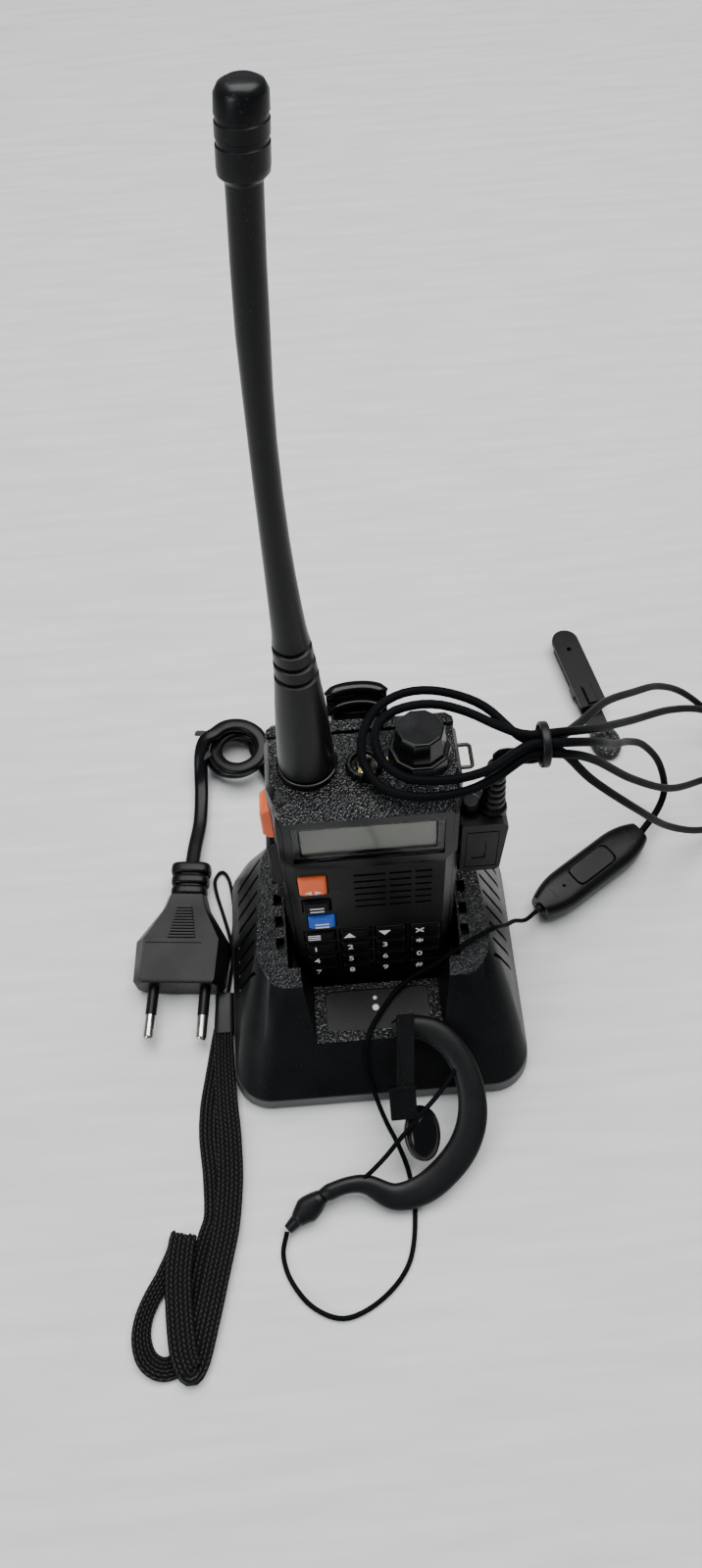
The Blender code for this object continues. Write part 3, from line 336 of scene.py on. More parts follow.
def soften(obj, width, segments=3, angle=32.0, smooth=50.0):
    """Rounds the sharp edges and shades the rest smooth, with flat faces kept flat."""
    if width:
        mod = obj.modifiers.new("edges", 'BEVEL')
        mod.width = width * MM
        mod.segments = segments
        mod.limit_method = 'ANGLE'
        mod.angle_limit = math.radians(angle)
        apply_modifiers(obj)
    obj.data.shade_smooth()
    obj.data.set_sharp_from_angle(angle=math.radians(smooth))
    weighted = obj.modifiers.new("normals", 'WEIGHTED_NORMAL')
    weighted.keep_sharp = True
    return obj


def dress(node, mat, width=0.25, segments=2):
    """Keeps a CAD node's shape and gives it rounded edges and a finished material."""
    obj = frame["nodes"][node]
    for name in ("custom_normal", "sharp_face", "sharp_edge"):
        found = obj.data.attributes.get(name)
        if found:
            obj.data.attributes.remove(found)
    obj.data.materials.clear()
    obj.data.materials.append(mat)
    obj.data.shade_smooth()
    weld = obj.modifiers.new("weld", 'WELD')
    weld.merge_threshold = 0.00001
    mod = obj.modifiers.new("edges", 'BEVEL')
    mod.width = width * MM
    mod.segments = segments
    mod.limit_method = 'ANGLE'
    mod.angle_limit = math.radians(35)
    mod.harden_normals = True
    return obj


def add_box(bm, x, y, z, turn=None, pivot=(0, 0, 0)):
    size = (x[1] - x[0], y[1] - y[0], z[1] - z[0])
    centre = Vector(((x[0] + x[1]) / 2, (y[0] + y[1]) / 2, (z[0] + z[1]) / 2))
    matrix = Matrix.Translation(centre) @ Matrix.Diagonal((*size, 1))
    if turn is not None:
        matrix = Matrix.Translation(pivot) @ turn @ Matrix.Translation(-Vector(pivot)) @ matrix
    bmesh.ops.create_cube(bm, size=1.0, matrix=matrix)


def one_box(*args, **kwargs):
    bm = bmesh.new()
    add_box(bm, *args, **kwargs)
    return bm


def add_cylinder(bm, centre, radius, length, axis='Z', sides=48, top_radius=None):
    turn = {'X': Matrix.Rotation(math.pi / 2, 4, 'Y'), 'Y': Matrix.Rotation(-math.pi / 2, 4, 'X'),
            'Z': LEVEL}[axis]
    top = radius if top_radius is None else top_radius
    bmesh.ops.create_cone(bm, cap_ends=True, segments=sides, radius1=radius, radius2=top,
                          depth=length, matrix=Matrix.Translation(centre) @ turn)


def one_cylinder(*args, **kwargs):
    bm = bmesh.new()
    add_cylinder(bm, *args, **kwargs)
    return bm


def skin(bm, rings, closed_ends=True):
    """Joins rings of equal counts, by quads, into one solid."""
    count = len(rings[0])
    for lower, upper in zip(rings, rings[1:]):
        for i in range(count):
            j = (i + 1) % count
            bm.faces.new((lower[i], lower[j], upper[j], upper[i]))
    if closed_ends:
        bm.faces.new(list(reversed(rings[0])))
        bm.faces.new(rings[-1])


def add_prism(bm, outline, axis, low, high):
    """Extrudes a flat outline along an axis; its two numbers are the other two axes in order."""
    order = {'X': (2, 0, 1), 'Y': (0, 2, 1), 'Z': (0, 1, 2)}[axis]
    rings = []
    for level in (low, high):
        rings.append([bm.verts.new([(a, b, level)[i] for i in order]) for a, b in outline])
    skin(bm, rings)


def one_prism(*args):
    bm = bmesh.new()
    add_prism(bm, *args)
    return bm


def one_loft(sections):
    """Joins outlines of equal counts; each section is (z, outline)."""
    bm = bmesh.new()
    skin(bm, [[bm.verts.new((x, y, z)) for x, y in outline] for z, outline in sections])
    return bm


def add_lathe(bm, profile, centre=(0, 0), sides=64, bend=None):
    """Revolves (radius, z) points about an upright axis; bend(z) shifts each ring in x."""
    rings = []
    for radius, z in profile:
        x = centre[0] + (bend(z) if bend else 0.0)
        if radius == 0:
            rings.append([bm.verts.new((x, centre[1], z))])
            continue
        rings.append([bm.verts.new((x + radius * math.cos(math.tau * i / sides),
                                    centre[1] + radius * math.sin(math.tau * i / sides), z))
                      for i in range(sides)])
    for upper, lower in zip(rings, rings[1:]):
        for i in range(sides):
            j = (i + 1) % sides
            corners = (upper[i % len(upper)], lower[i % len(lower)],
                       lower[j % len(lower)], upper[j % len(upper)])
            bm.faces.new(list(dict.fromkeys(corners)))


def one_lathe(*args, **kwargs):
    bm = bmesh.new()
    add_lathe(bm, *args, **kwargs)
    return bm


def rounded(half_width, y_low, y_high, radius, steps=10):
    """A rectangle with round corners, counter-clockwise."""
    points = []
    corners = ((half_width - radius, y_high - radius, 0), (radius - half_width, y_high - radius, 90),
               (radius - half_width, y_low + radius, 180), (half_width - radius, y_low + radius, 270))
    for cx, cy, start in corners:
        for i in range(steps + 1):
            angle = math.radians(start + 90 * i / steps)
            points.append((cx + radius * math.cos(angle), cy + radius * math.sin(angle)))
    return points


def smooth_route(route, count):
    """Evenly spaced points on a smooth curve through the route's own points."""
    knots = [Vector(p) for p in route]
    knots = [knots[0] * 2 - knots[1]] + knots + [knots[-1] * 2 - knots[-2]]
    fine = []
    for a, b, c, d in zip(knots, knots[1:], knots[2:], knots[3:]):
        for i in range(16):
            t = i / 16
            fine.append(0.5 * (2 * b + (c - a) * t + (2 * a - 5 * b + 4 * c - d) * t ** 2
                               + (3 * b - a - 3 * c + d) * t ** 3))
    fine.append(knots[-2])
    total = sum((b - a).length for a, b in zip(fine, fine[1:]))
    points = [fine[0]]
    gone = 0.0
    for a, b in zip(fine, fine[1:]):
        step = (b - a).length
        while len(points) < count - 1 and gone + step >= total * len(points) / (count - 1):
            share = (total * len(points) / (count - 1) - gone) / step
            points.append(a.lerp(b, share))
        gone += step
    points.append(fine[-1])
    return points


def sweep(bm, path, section, up):
    """Runs closed sections along a path. section(i, share) gives (across, above) offsets and up
    is the direction that `above` leans to."""
    rings = []
    for i, point in enumerate(path):
        along = (path[min(i + 1, len(path) - 1)] - path[max(i - 1, 0)]).normalized()
        lean = up(i) if callable(up) else up
        across = along.cross(lean).normalized()
        above = across.cross(along)
        rings.append([bm.verts.new(point + across * a + above * b)
                      for a, b in section(i, i / (len(path) - 1))])
    skin(bm, rings)


def oval(width, height, sides=24, power=2.0):
    """A rounded section; a power above 2 squares it off."""
    points = []
    for i in range(sides):
        c, s = math.cos(math.tau * i / sides), math.sin(math.tau * i / sides)
        points.append((width / 2 * math.copysign(abs(c) ** (2 / power), c),
                       height / 2 * math.copysign(abs(s) ** (2 / power), s)))
    return points


def on_radio(x, y, z):
    return UPRIGHT @ Vector((x, y, z))


# ================================================================ cords
def through_tie(angle, outward):
    """One pass through the tie, at an angle round its middle, leaving it or coming back."""
    y = TIE.y + TIE_SPREAD * math.cos(math.radians(angle))
    z = TIE.z + TIE_SPREAD * math.sin(math.radians(angle))
    ends = [on_radio(TIE.x - 4.5, y, z), on_radio(TIE.x + 4.5, y, z)]
    return ends if outward else ends[::-1]


def headset_route():
    """From the side plug, through the tie, twice round the knob and out to the microphone."""
    outer_loop = [(36.0, 10.0, 117.0), (28.5, 16.2, 116.3), (20.3, 19.2, 116.0), (12.5, 18.9, 115.6),
                  (5.8, 15.0, 115.2), (1.5, 8.5, 114.8), (-0.2, 0.5, 114.8), (0.8, -6.7, 114.6),
                  (4.6, -11.8, 112.9), (11.0, -14.8, 112.2), (19.0, -15.7, 112.2), (28.0, -15.0, 113.0),
                  (36.5, -11.8, 114.3)]
    inner_loop = [(38.0, 0.6, 120.0), (30.5, 6.8, 119.4), (23.0, 11.3, 118.4), (15.8, 12.6, 117.6),
                  (8.8, 10.9, 117.0), (4.5, 5.8, 116.9), (3.9, -0.5, 116.9), (6.0, -6.9, 116.4),
                  (11.3, -11.4, 115.8), (18.2, -13.0, 115.8), (26.0, -13.3, 116.4), (34.5, -11.8, 117.8)]
    far_lobe = [(67.0, 16.5, 104.0), (87.0, 21.0, 74.0), (106.0, 30.5, 41.0), (126.0, 40.5, 15.0),
                (139.0, 49.0, 5.0), (149.0, 60.0, 2.5), (154.0, 74.0, 3.0), (149.0, 86.0, 7.0),
                (138.0, 92.0, 18.0), (124.0, 89.0, 36.0), (109.0, 79.0, 56.0), (93.0, 63.0, 78.0),
                (77.0, 46.5, 99.0), (64.0, 30.0, 115.0)]
    near_lobe = [(66.0, 18.5, 113.0), (85.0, 28.0, 82.0), (106.0, 39.5, 52.0), (126.0, 54.0, 29.0),
                 (139.0, 62.0, 20.0), (144.0, 71.0, 21.0), (138.0, 78.0, 31.0), (126.0, 74.0, 46.0),
                 (108.0, 63.0, 65.0), (86.0, 44.0, 91.0), (68.0, 27.0, 116.0)]
    lead = [(66.0, 20.0, 120.0), (78.0, 33.0, 96.0), (89.0, 47.0, 73.0), (100.0, 57.0, 53.0),
            (110.5, 61.0, 33.0), (116.0, 59.0, 16.0), (114.0, 54.0, 8.0)]
    route = [on_radio(BOOT_X, 0.0, BOOT_TOP + 0.6), on_radio(BOOT_X, 0.0, BOOT_TOP + 4.0),
             on_radio(40.6, -2.4, 112.0)]
    route += through_tie(-90, True) + far_lobe + through_tie(-18, False)
    route += [on_radio(*p) for p in outer_loop]
    route += through_tie(198, True) + near_lobe + through_tie(54, False)
    route += [on_radio(*p) for p in inner_loop]
    return route + through_tie(126, True) + lead + [capsule_end(1)]


def capsule_end(side):
    """Where a lead meets the capsule: side 1 is the far end, -1 the near end."""
    return CAPSULE @ Vector((side * 26.8, 0.0, 0.0))


def hook_point(u, v, height=0.0):
    return HOOK @ Vector((u - HOOK_CENTRE.x, v, height))


def ear_route():
    """Over the charger's right side, down its front, along the surface and into the ear hook."""
    return [capsule_end(-1), (56.5, 12.5, 9.5), (50.6, 7.5, 22.0), (46.2, 2.5, 31.5), (41.0, -1.6, 40.0),
            (36.0, -4.2, 41.4), (30.0, -7.0, 41.0), (25.2, -9.2, 39.8), (21.5, -10.2, 35.5),
            (17.0, -10.6, 30.0), (11.6, -11.8, 25.2), (5.8, -16.0, 23.8), (0.9, -22.0, 23.5),
            (-2.6, -27.0, 23.7), (-4.5, -31.6, 23.3), (-5.3, -35.4, 20.2), (-5.3, -39.4, 16.2),
            (-4.4, -43.0, 12.7), (-3.0, -46.8, 9.2), (-1.5, -50.6, 4.8), (0.6, -55.5, 1.8),
            (3.4, -62.0, 1.3), (6.0, -71.0, 1.2), (6.8, -83.0, 1.2), (3.6, -98.0, 1.2), (-5.6, -108.0, 1.2),
            (-17.7, -113.0, 1.2), (-27.7, -109.5, 1.2), (-34.5, -101.5, 1.2), (-37.0, -93.3, 1.6),
            hook_point(-35.4, -35.0)]


def mains_route():
    """From the plug's boot into a small uneven coil behind the dock and on to the gland."""
    turns, steps, drop = 2.42, 22, 11.8
    ring = []
    for i in range(steps + 1):
        share = i / steps
        angle = math.radians(150.0) - turns * math.tau * share
        stray = math.sin(5.0 * share)
        ring.append(Vector((-47.5 + 1.6 * stray + 9.6 * math.cos(angle),
                            95.0 - 1.2 * stray + 9.2 * math.sin(angle), 14.6 - drop * share)))
    exit_point = PLUG_EXIT + Vector((0, 0.3, 0))
    route = ([exit_point, exit_point + Vector((0.9, 8.0, -1.2)), (-62.8, 66.0, 4.2), (-62.2, 78.0, 4.2),
             (-62.0, 86.0, 6.6), (-61.2, 93.0, 11.4), (-59.2, 97.6, 14.0)]
            + ring + [(-34.4, 84.0, 2.9), (-29.6, 75.0, 3.3), (-25.2, 67.0, 4.4),
                      GLAND_MOUTH])
    return route[::-1]


def cable(name, route, count, diameter, mat, body, replaces):
    """A cord as a curve along its route; returns it with its points."""
    points = smooth_route(route, count)
    curve = bpy.data.curves.new(name, 'CURVE')
    curve.dimensions = '3D'
    curve.bevel_depth = diameter / 2 * MM
    curve.bevel_resolution = 6
    curve.use_fill_caps = True
    spline = curve.splines.new('POLY')
    spline.points.add(len(points) - 1)
    for target, point in zip(spline.points, points):
        target.co = (*(point * MM), 1.0)
    spline.use_smooth = True
    curve.materials.append(mat)
    return settle(bpy.data.objects.new(name, curve), body, replaces), points


def flat_lead(name, route, count, width, height, mat, body, replaces):
    """A flat two-core lead, wider than it is high; returns it with its points."""
    points = smooth_route(route, count)
    bm = bmesh.new()
    sweep(bm, points, lambda i, s: oval(width, height, 24, 2.6), UP)
    return soften(piece(name, bm, LEVEL, body, mat, replaces), 0), points


def make_cords():
    headset, headset_points = cable("headset_cable", headset_route(), 420, CABLE, JACKET, "radio",
                                    ("headset_cord",))
    ear, ear_points = cable("ear_cable", ear_route(), 160, EAR_CABLE, JACKET, "radio", ("ear_lead",))
    mains, mains_points = flat_lead("mains_cable", mains_route(), 200, MAINS_CABLE, 3.6, MAINS_JACKET, "dock",
                                    ("mains_cord",))
    inner, inner_points = cable("hook_cable", hook_lead_route(), 60, EAR_CABLE, JACKET, "radio", ())
    loop, loop_points = cable("strap_string", string_route(), 90, STRING, WEAVE_GLINTS, "dock", ())
    return ((headset, headset_points), (ear, ear_points), (mains, mains_points), (inner, inner_points),
            (loop, loop_points))


def hook_lead_route():
    """The short inner lead, from the hook's tail across its opening to the speaker arm's top."""
    return [(-9.6, -73.2, 9.4), (-6.0, -70.8, 11.0), (-1.5, -67.2, 12.6), (3.0, -63.6, 17.6),
            (7.5, -60.2, 22.6), (11.5, -56.6, 24.8), (15.6, -52.8, 24.6), (19.4, -48.6, 23.6),
            (22.6, -44.6, 22.4), (25.4, -40.8, 21.6)]


def string_route():
    """The strap's thin string: out of the crimp, round behind the plug and back into the crimp."""
    return [(-53.4, -4.6, 2.2), (-52.4, 3.0, 1.4), (-51.4, 11.0, 1.1), (-52.6, 19.0, 1.1), (-54.6, 27.0, 1.1),
            (-57.0, 36.0, 1.1), (-57.6, 42.0, 1.1), (-55.0, 45.4, 1.1), (-52.4, 42.0, 1.1),
            (-51.0, 34.0, 1.1), (-50.6, 25.0, 1.1), (-51.6, 15.0, 2.6), (-53.6, 6.0, 2.4), (-55.2, -1.0, 2.6),
            (-55.6, -4.6, 3.2)]


# ================================================================ charger
RIM_FRONT = (-14.0, 36.0)
RIM_SLOPE = 0.304
TROUGH_FLOOR = 22.3
HALF_WIDTH = 51.2
SEAM_TOP = 8.3


def rim_height(y):
    return RIM_FRONT[1] + (y - RIM_FRONT[0]) * RIM_SLOPE


def above_line(point, slope, end=60.0):
    start = -60.0
    return [(start, point[1] + (start - point[0]) * slope), (end, point[1] + (end - point[0]) * slope),
            (end, 95), (start, 95)]


def make_dock():
    shell = piece("dock_cover", one_loft([
        (SEAM_TOP, rounded(HALF_WIDTH - 0.9, -45.2, 45.2, 13.0)),
        (22.0, rounded(46.2, -31.2, 42.2, 12.5)),
        (52.0, rounded(34.2, 3.8, 33.0, 9.0)),
    ]), LEVEL, "dock", DOCK, ("dock_shell",))

    slits = bmesh.new()
    for side in (-1, 1):
        for i in range(8):
            y = -9.0 + 5.2 * i
            add_box(slits, sorted((side * 33.6, side * 53.0)), (y - 0.6, y + 0.6),
                    (18.5, rim_height(y) - 2.4))
    notches = bmesh.new()
    for side in (-1, 1):
        for i in range(5):
            y = -3.0 + 7.0 * i
            add_box(notches, sorted((side * 29.6, side * 32.2)), (y, y + 3.6),
                    (rim_height(y) - 4.4, rim_height(y) + 6))
    trough = one_prism([(-21.3, TROUGH_FLOOR), (21.3, TROUGH_FLOOR), (24.8, 37.0), (24.8, 60.0),
                        (-24.8, 60.0), (-24.8, 37.0)], 'Y', -60.0, -7.5)
    panel = one_prism(rounded(17.6, -27.2, -13.2, 2.2, 6), 'Z', TROUGH_FLOOR - 0.9, 30.0)
    carve(shell, [
        ('DIFFERENCE', one_box((-28.8, 28.8), (-17.9, 17.4), (-0.9, 95)), UPRIGHT),
        ('DIFFERENCE', trough, LEVEL),
        ('DIFFERENCE', one_prism(above_line(RIM_FRONT, RIM_SLOPE), 'X', -60, 60), LEVEL),
        ('DIFFERENCE', slits, LEVEL),
        ('DIFFERENCE', notches, LEVEL),
        ('DIFFERENCE', panel, LEVEL),
    ])
    soften(shell, 0.7, 3, 28.0)
    shell.data.materials.append(GRAIN_GLINTS)
    rim_normal = Vector((0, -RIM_SLOPE, 1)).normalized()
    for face in shell.data.polygons:
        x, y, z = face.center / MM
        on_rim = face.normal.dot(rim_normal) > 0.999 and abs(z - rim_height(y)) < 0.4
        on_floor = face.normal.z > 0.999 and abs(z - TROUGH_FLOOR) < 0.3 and abs(x) < 25
        if on_rim or on_floor:
            face.material_index = 1

    lamp = bmesh.new()
    for y, radius in ((-19.6, 1.1), (-16.2, 0.7)):
        add_lathe(lamp, [(0, -0.45), (radius * 0.6, -0.55), (radius, -0.8), (radius, -1.6), (0, -1.6)],
                  (-0.7, y), 24)
    lamp.transform(Matrix.Translation((0, 0, TROUGH_FLOOR)))
    soften(piece("charge_lamp", lamp, LEVEL, "dock", INK, ()), 0)

    base = piece("dock_tray", one_loft([
        (0.0, rounded(HALF_WIDTH - 1.0, -45.0, 45.0, 12.0)),
        (0.5, rounded(HALF_WIDTH - 0.4, -45.6, 45.6, 12.6)),
        (1.2, rounded(HALF_WIDTH, -46.0, 46.0, 13.0)),
        (7.6, rounded(HALF_WIDTH - 0.6, -45.4, 45.4, 13.0)),
        (8.0, rounded(HALF_WIDTH - 0.9, -45.1, 45.1, 12.8)),
    ]), LEVEL, "dock", BASE, ("dock_base",))
    soften(base, 0, smooth=30.0)

    gland = bmesh.new()
    profile = [(0, 12.3), (3.4, 12.3)]
    for i in range(4):
        z = 10.9 - 2.6 * i
        radius = 3.5 + 0.22 * i
        profile += [(radius, z), (radius - 0.7, z - 0.2), (radius - 0.7, z - 1.1), (radius + 0.1, z - 1.3)]
    profile += [(4.4, 1.6), (4.4, 0.3), (0, 0.3)]
    add_lathe(gland, profile, sides=32)
    behind = Matrix.Translation((-24.0, 46.0, 5.0)) @ Matrix.Rotation(-math.pi / 2, 4, 'X')
    soften(piece("gland_boot", gland, behind, "dock", RUBBER, ("cord_gland",)), 0.15, 2)


# ================================================================ radio housing
FACE = -15.6
HOOD = -17.2
TOP = 110.0


def body_outline(half_width, face, back):
    return [(half_width, back), (-half_width, back), (-half_width, -5.0),
            (1.8 - half_width, face + 4.6), (5.4 - half_width, face),
            (half_width - 5.4, face), (half_width - 1.8, face + 4.6), (half_width, -5.0)]


KEY_COLUMNS = (-17.0, -5.67, 5.67, 17.0)
KEY_ROWS = (40.6, 32.7, 24.8, 16.9)
FUNCTION_KEYS = (              # node, x, z, width, height
    ("key_channel_mode", -17.4, 71.6, 8.6, 9.6),
    ("key_band", -16.9, 59.6, 8.6, 6.6),
    ("key_display_line", -15.9, 50.0, 8.6, 7.0),
)


def make_housing():
    cover = piece("housing_cover", one_loft([
        (0.3, body_outline(26.8, FACE + 1.0, 11.0)),
        (2.5, body_outline(27.4, FACE, 11.0)),
        (60.0, body_outline(27.8, FACE, 11.0)),
        (104.5, body_outline(28.0, FACE, 11.0)),
        (107.5, body_outline(27.6, FACE + 0.6, 11.0)),
        (TOP, body_outline(26.4, -12.0, 10.4)),
    ]), UPRIGHT, "radio", SHELL, ("front_housing",))

    hood = bmesh.new()
    front = [(-23.9, 106.4), (-23.9, 87.4), (-20.4, 83.0), (20.4, 83.0), (23.9, 87.4), (23.9, 106.4)]
    back = [(-25.4, 109.7), (-25.4, 86.6), (-21.2, 81.8), (21.2, 81.8), (25.4, 86.6), (25.4, 109.7)]
    skin(hood, [[hood.verts.new((x, y, z)) for x, z in outline]
                for y, outline in ((HOOD, front), (-12.4, back))])
    lip = one_prism([(-25.6, 104.0), (-25.6, 85.8), (-21.6, 80.4), (21.6, 80.4), (25.6, 85.8), (25.6, 104.0)],
                    'Y', -16.1, -12.4)
    openings = bmesh.new()
    add_box(openings, (-19.8, 19.8), (-17.0, -11.0), (88.3, 101.5))
    for z in KEY_ROWS:
        for x in KEY_COLUMNS:
            add_box(openings, (x - 5.3, x + 5.3), (-18, -11), (z - 3.3, z + 3.3))
    for node, x, z, width, height in FUNCTION_KEYS:
        add_box(openings, (x - width / 2 - 0.3, x + width / 2 + 0.3), (-18, -11),
                (z - height / 2 - 0.3, z + height / 2 + 0.3))
    for i in range(6):
        z = 57.0 + 3.6 * i
        for start, end in ((-5.0, 4.6), (5.8, 12.4), (13.6, 18.6)):
            add_box(openings, (start, end), (-18, -11), (z - 0.5, z + 0.5))
    add_box(openings, (-32, -24), (-6.6, 3.2), (83.4, 98.6))
    add_box(openings, (-32, -24), (-7.6, 3.2), (58.4, 82.2))
    add_box(openings, (-32, -24), (-6.6, 3.2), (48.4, 57.2))
    add_box(openings, (26.4, 30), (-1.6, 9.0), (102.4, 105.6))
    holes = bmesh.new()
    for x, y, radius in ((-15.5, -0.5, 5.4), (0.3, -2.5, 3.6), (16.0, -0.4, 4.2)):
        add_cylinder(holes, (x, y, 108), radius, 10)
    lamp_hole = one_cylinder((7.6, 0.5, 109.5), 0.9, 3, sides=20)
    sockets = bmesh.new()
    for z in (65.0, 77.0):
        add_cylinder(sockets, (27, 0, z), 2.3, 8, 'X', 32)
    seam = bmesh.new()
    for x in (-28.3, 27.3):
        add_box(seam, (x, x + 1.0), (4.4, 4.9), (74.0, 108.0))
    carve(cover, [
        ('UNION', lip, UPRIGHT),
        ('UNION', hood, UPRIGHT),
        ('DIFFERENCE', one_box((-40, 40), (3.5, 20), (-5, 73.4)), UPRIGHT),
        ('DIFFERENCE', one_box((-25.2, 25.2), (-12.2, 20), (2.8, 107.4)), UPRIGHT),
        ('DIFFERENCE', one_box((-21.8, 21.8), (-20, -16.2), (86.2, 103.4)), UPRIGHT),
        ('DIFFERENCE', openings, UPRIGHT),
        ('DIFFERENCE', holes, UPRIGHT),
        ('DIFFERENCE', lamp_hole, UPRIGHT),
        ('DIFFERENCE', sockets, UPRIGHT),
        ('DIFFERENCE', seam, UPRIGHT),
    ])
    soften(cover, 0.45, 3, 25.0)
    cover.data.materials.append(GRAIN_GLINTS)
    cover.data.materials.append(GLOSS)
    upright = UPRIGHT.to_3x3()
    away = UPRIGHT.inverted()
    for face in cover.data.polygons:
        x, y, z = away @ (face.center / MM)
        normal = upright.inverted() @ face.normal
        if z > 109.5 and normal.z > 0.98:
            face.material_index = 1
        elif z > 106.5 and normal.z > 0.3 and normal.y < -0.3 and abs(x) < 24:
            face.material_index = 1
        elif 82.0 < z < 106.6 and abs(x) < 25 and y < -15.8:
            face.material_index = 2

    lamp = one_lathe([(0, 110.4), (0.5, 110.3), (0.8, 109.9), (0.8, 108.4), (0, 108.4)], (7.6, 0.5), 24)
    soften(piece("status_lamp", lamp, UPRIGHT, "radio", EMITTER, ()), 0)


LEGENDS = {"1": "1", "2": "2", "3": "3", "4": "4", "5": "5", "6": "6", "7": "7", "8": "8", "9": "9",
           "0": "0", "star": "*", "hash": "#"}
KEY_NAMES = (("menu", "up", "down", "exit"), ("1", "2", "3", "star"), ("4", "5", "6", "0"),
             ("7", "8", "9", "hash"))


def keycap(node, x, z, width, height, out, mat):
    """A pillowed cap: its face is proud in the middle and its edges are rounded."""
    bm = bmesh.new()
    rings = []
    levels = ((-12.6, 0.0, 0.6), (out + 1.2, 0.0, 0.6), (out + 0.5, 0.15, 0.8), (out + 0.12, 0.5, 1.0),
              (out, 1.1, 1.2))
    for y, inset, radius in levels:
        outline = rounded(width / 2 - inset, inset - height / 2, height / 2 - inset, radius, 5)
        rings.append([bm.verts.new((x + a, y, z + b)) for a, b in outline])
    skin(bm, rings)
    return soften(piece(node + "_cap", bm, UPRIGHT, node, mat, (node,)), 0, smooth=40.0)


def flat_marks(name, body, bm, out):
    """Printed marks: a bmesh drawn flat in (x, z), laid 0.06 mm proud of a face."""
    stand = Matrix.Translation((0, out, 0)) @ Matrix.Rotation(math.pi / 2, 4, 'X')
    bm.transform(stand)
    return piece(name, bm, UPRIGHT, body, INK)


def text_marks(name, body, text, x, z, size, out):
    """A printed digit or sign from Blender's own plain font."""
    curve = bpy.data.curves.new(name, 'FONT')
    curve.body = text
    curve.size = size
    curve.align_x = 'CENTER'
    curve.align_y = 'CENTER'
    curve.extrude = 0.03
    curve.offset = 0.02
    obj = bpy.data.objects.new(name, curve)
    bpy.context.scene.collection.objects.link(obj)
    graph = bpy.context.evaluated_depsgraph_get()
    graph.update()
    mesh = bpy.data.meshes.new_from_object(obj.evaluated_get(graph))
    bpy.data.objects.remove(obj)
    bm = bmesh.new()
    bm.from_mesh(mesh)
    bmesh.ops.translate(bm, verts=bm.verts, vec=(x, z, 0))
    return flat_marks(name, body, bm, out)


def make_keys():
    for row, z in enumerate(KEY_ROWS):
        for column, x in enumerate(KEY_COLUMNS):
            name = KEY_NAMES[row][column]
            node = "key_" + name
            keycap(node, x, z, 10.0, 6.0, -16.4, KEYCAP)
            left = x - 1.9
            if name in LEGENDS:
                size = 5.4 if name == "star" else 4.0
                text_marks(node + "_legend", node, LEGENDS[name], left, z, size, -16.43)
            else:
                marks = bmesh.new()
                if name == "menu":
                    for i in (-1, 0, 1):
                        add_box(marks, (left - 2.0, left + 2.0), (z + 1.2 * i - 0.25, z + 1.2 * i + 0.25),
                                (-0.03, 0.03))
                elif name == "exit":
                    for turn in (45, -45):
                        add_box(marks, (left - 1.7, left + 1.7), (z - 0.25, z + 0.25), (-0.03, 0.03),
                                Matrix.Rotation(math.radians(turn), 4, 'Z'), (left, z, 0))
                else:
                    tip = 1.4 if name == "up" else -1.4
                    add_prism(marks, [(left - 1.9, z - tip), (left + 1.9, z - tip), (left, z + tip)],
                              'Z', -0.03, 0.03)
                flat_marks(node + "_legend", node, marks, -16.43)
    for (node, x, z, width, height), mat, slot in zip(
            FUNCTION_KEYS, (ORANGE, KEYCAP, BLUE), ("orange_plastic", "key_black", "blue_plastic")):
        keycap(node, x, z, width, height, -16.7, mat)
        marks = bmesh.new()
        low = z - height / 2 + 2.0
        for i in (-1, 1):
            if node == "key_channel_mode":
                add_prism(marks, [(x + i * 0.5, low - 1.0), (x + i * 2.6, low), (x + i * 0.5, low + 1.0)],
                          'Z', -0.03, 0.03)
            else:
                add_box(marks, (x - 2.2, x + 2.2), (low + 0.9 * i - 0.3, low + 0.9 * i + 0.3),
                        (-0.03, 0.03))
        flat_marks(node + "_legend", node, marks, -16.73)

    dress("call_button", ORANGE, 0.5, 3)
    dress("ptt_button", RUBBER, 0.5, 3)
    dress("monitor_button", RUBBER, 0.5, 3)
    ribs = bmesh.new()
    for i in range(7):
        z = 63.0 + 2.4 * i
        add_box(ribs, (-30.5, -29.6), (-5.6, 1.4), (z - 0.45, z + 0.45))
    soften(piece("ptt_ribs", ribs, UPRIGHT, "ptt_button", RUBBER, ()), 0.25, 2)


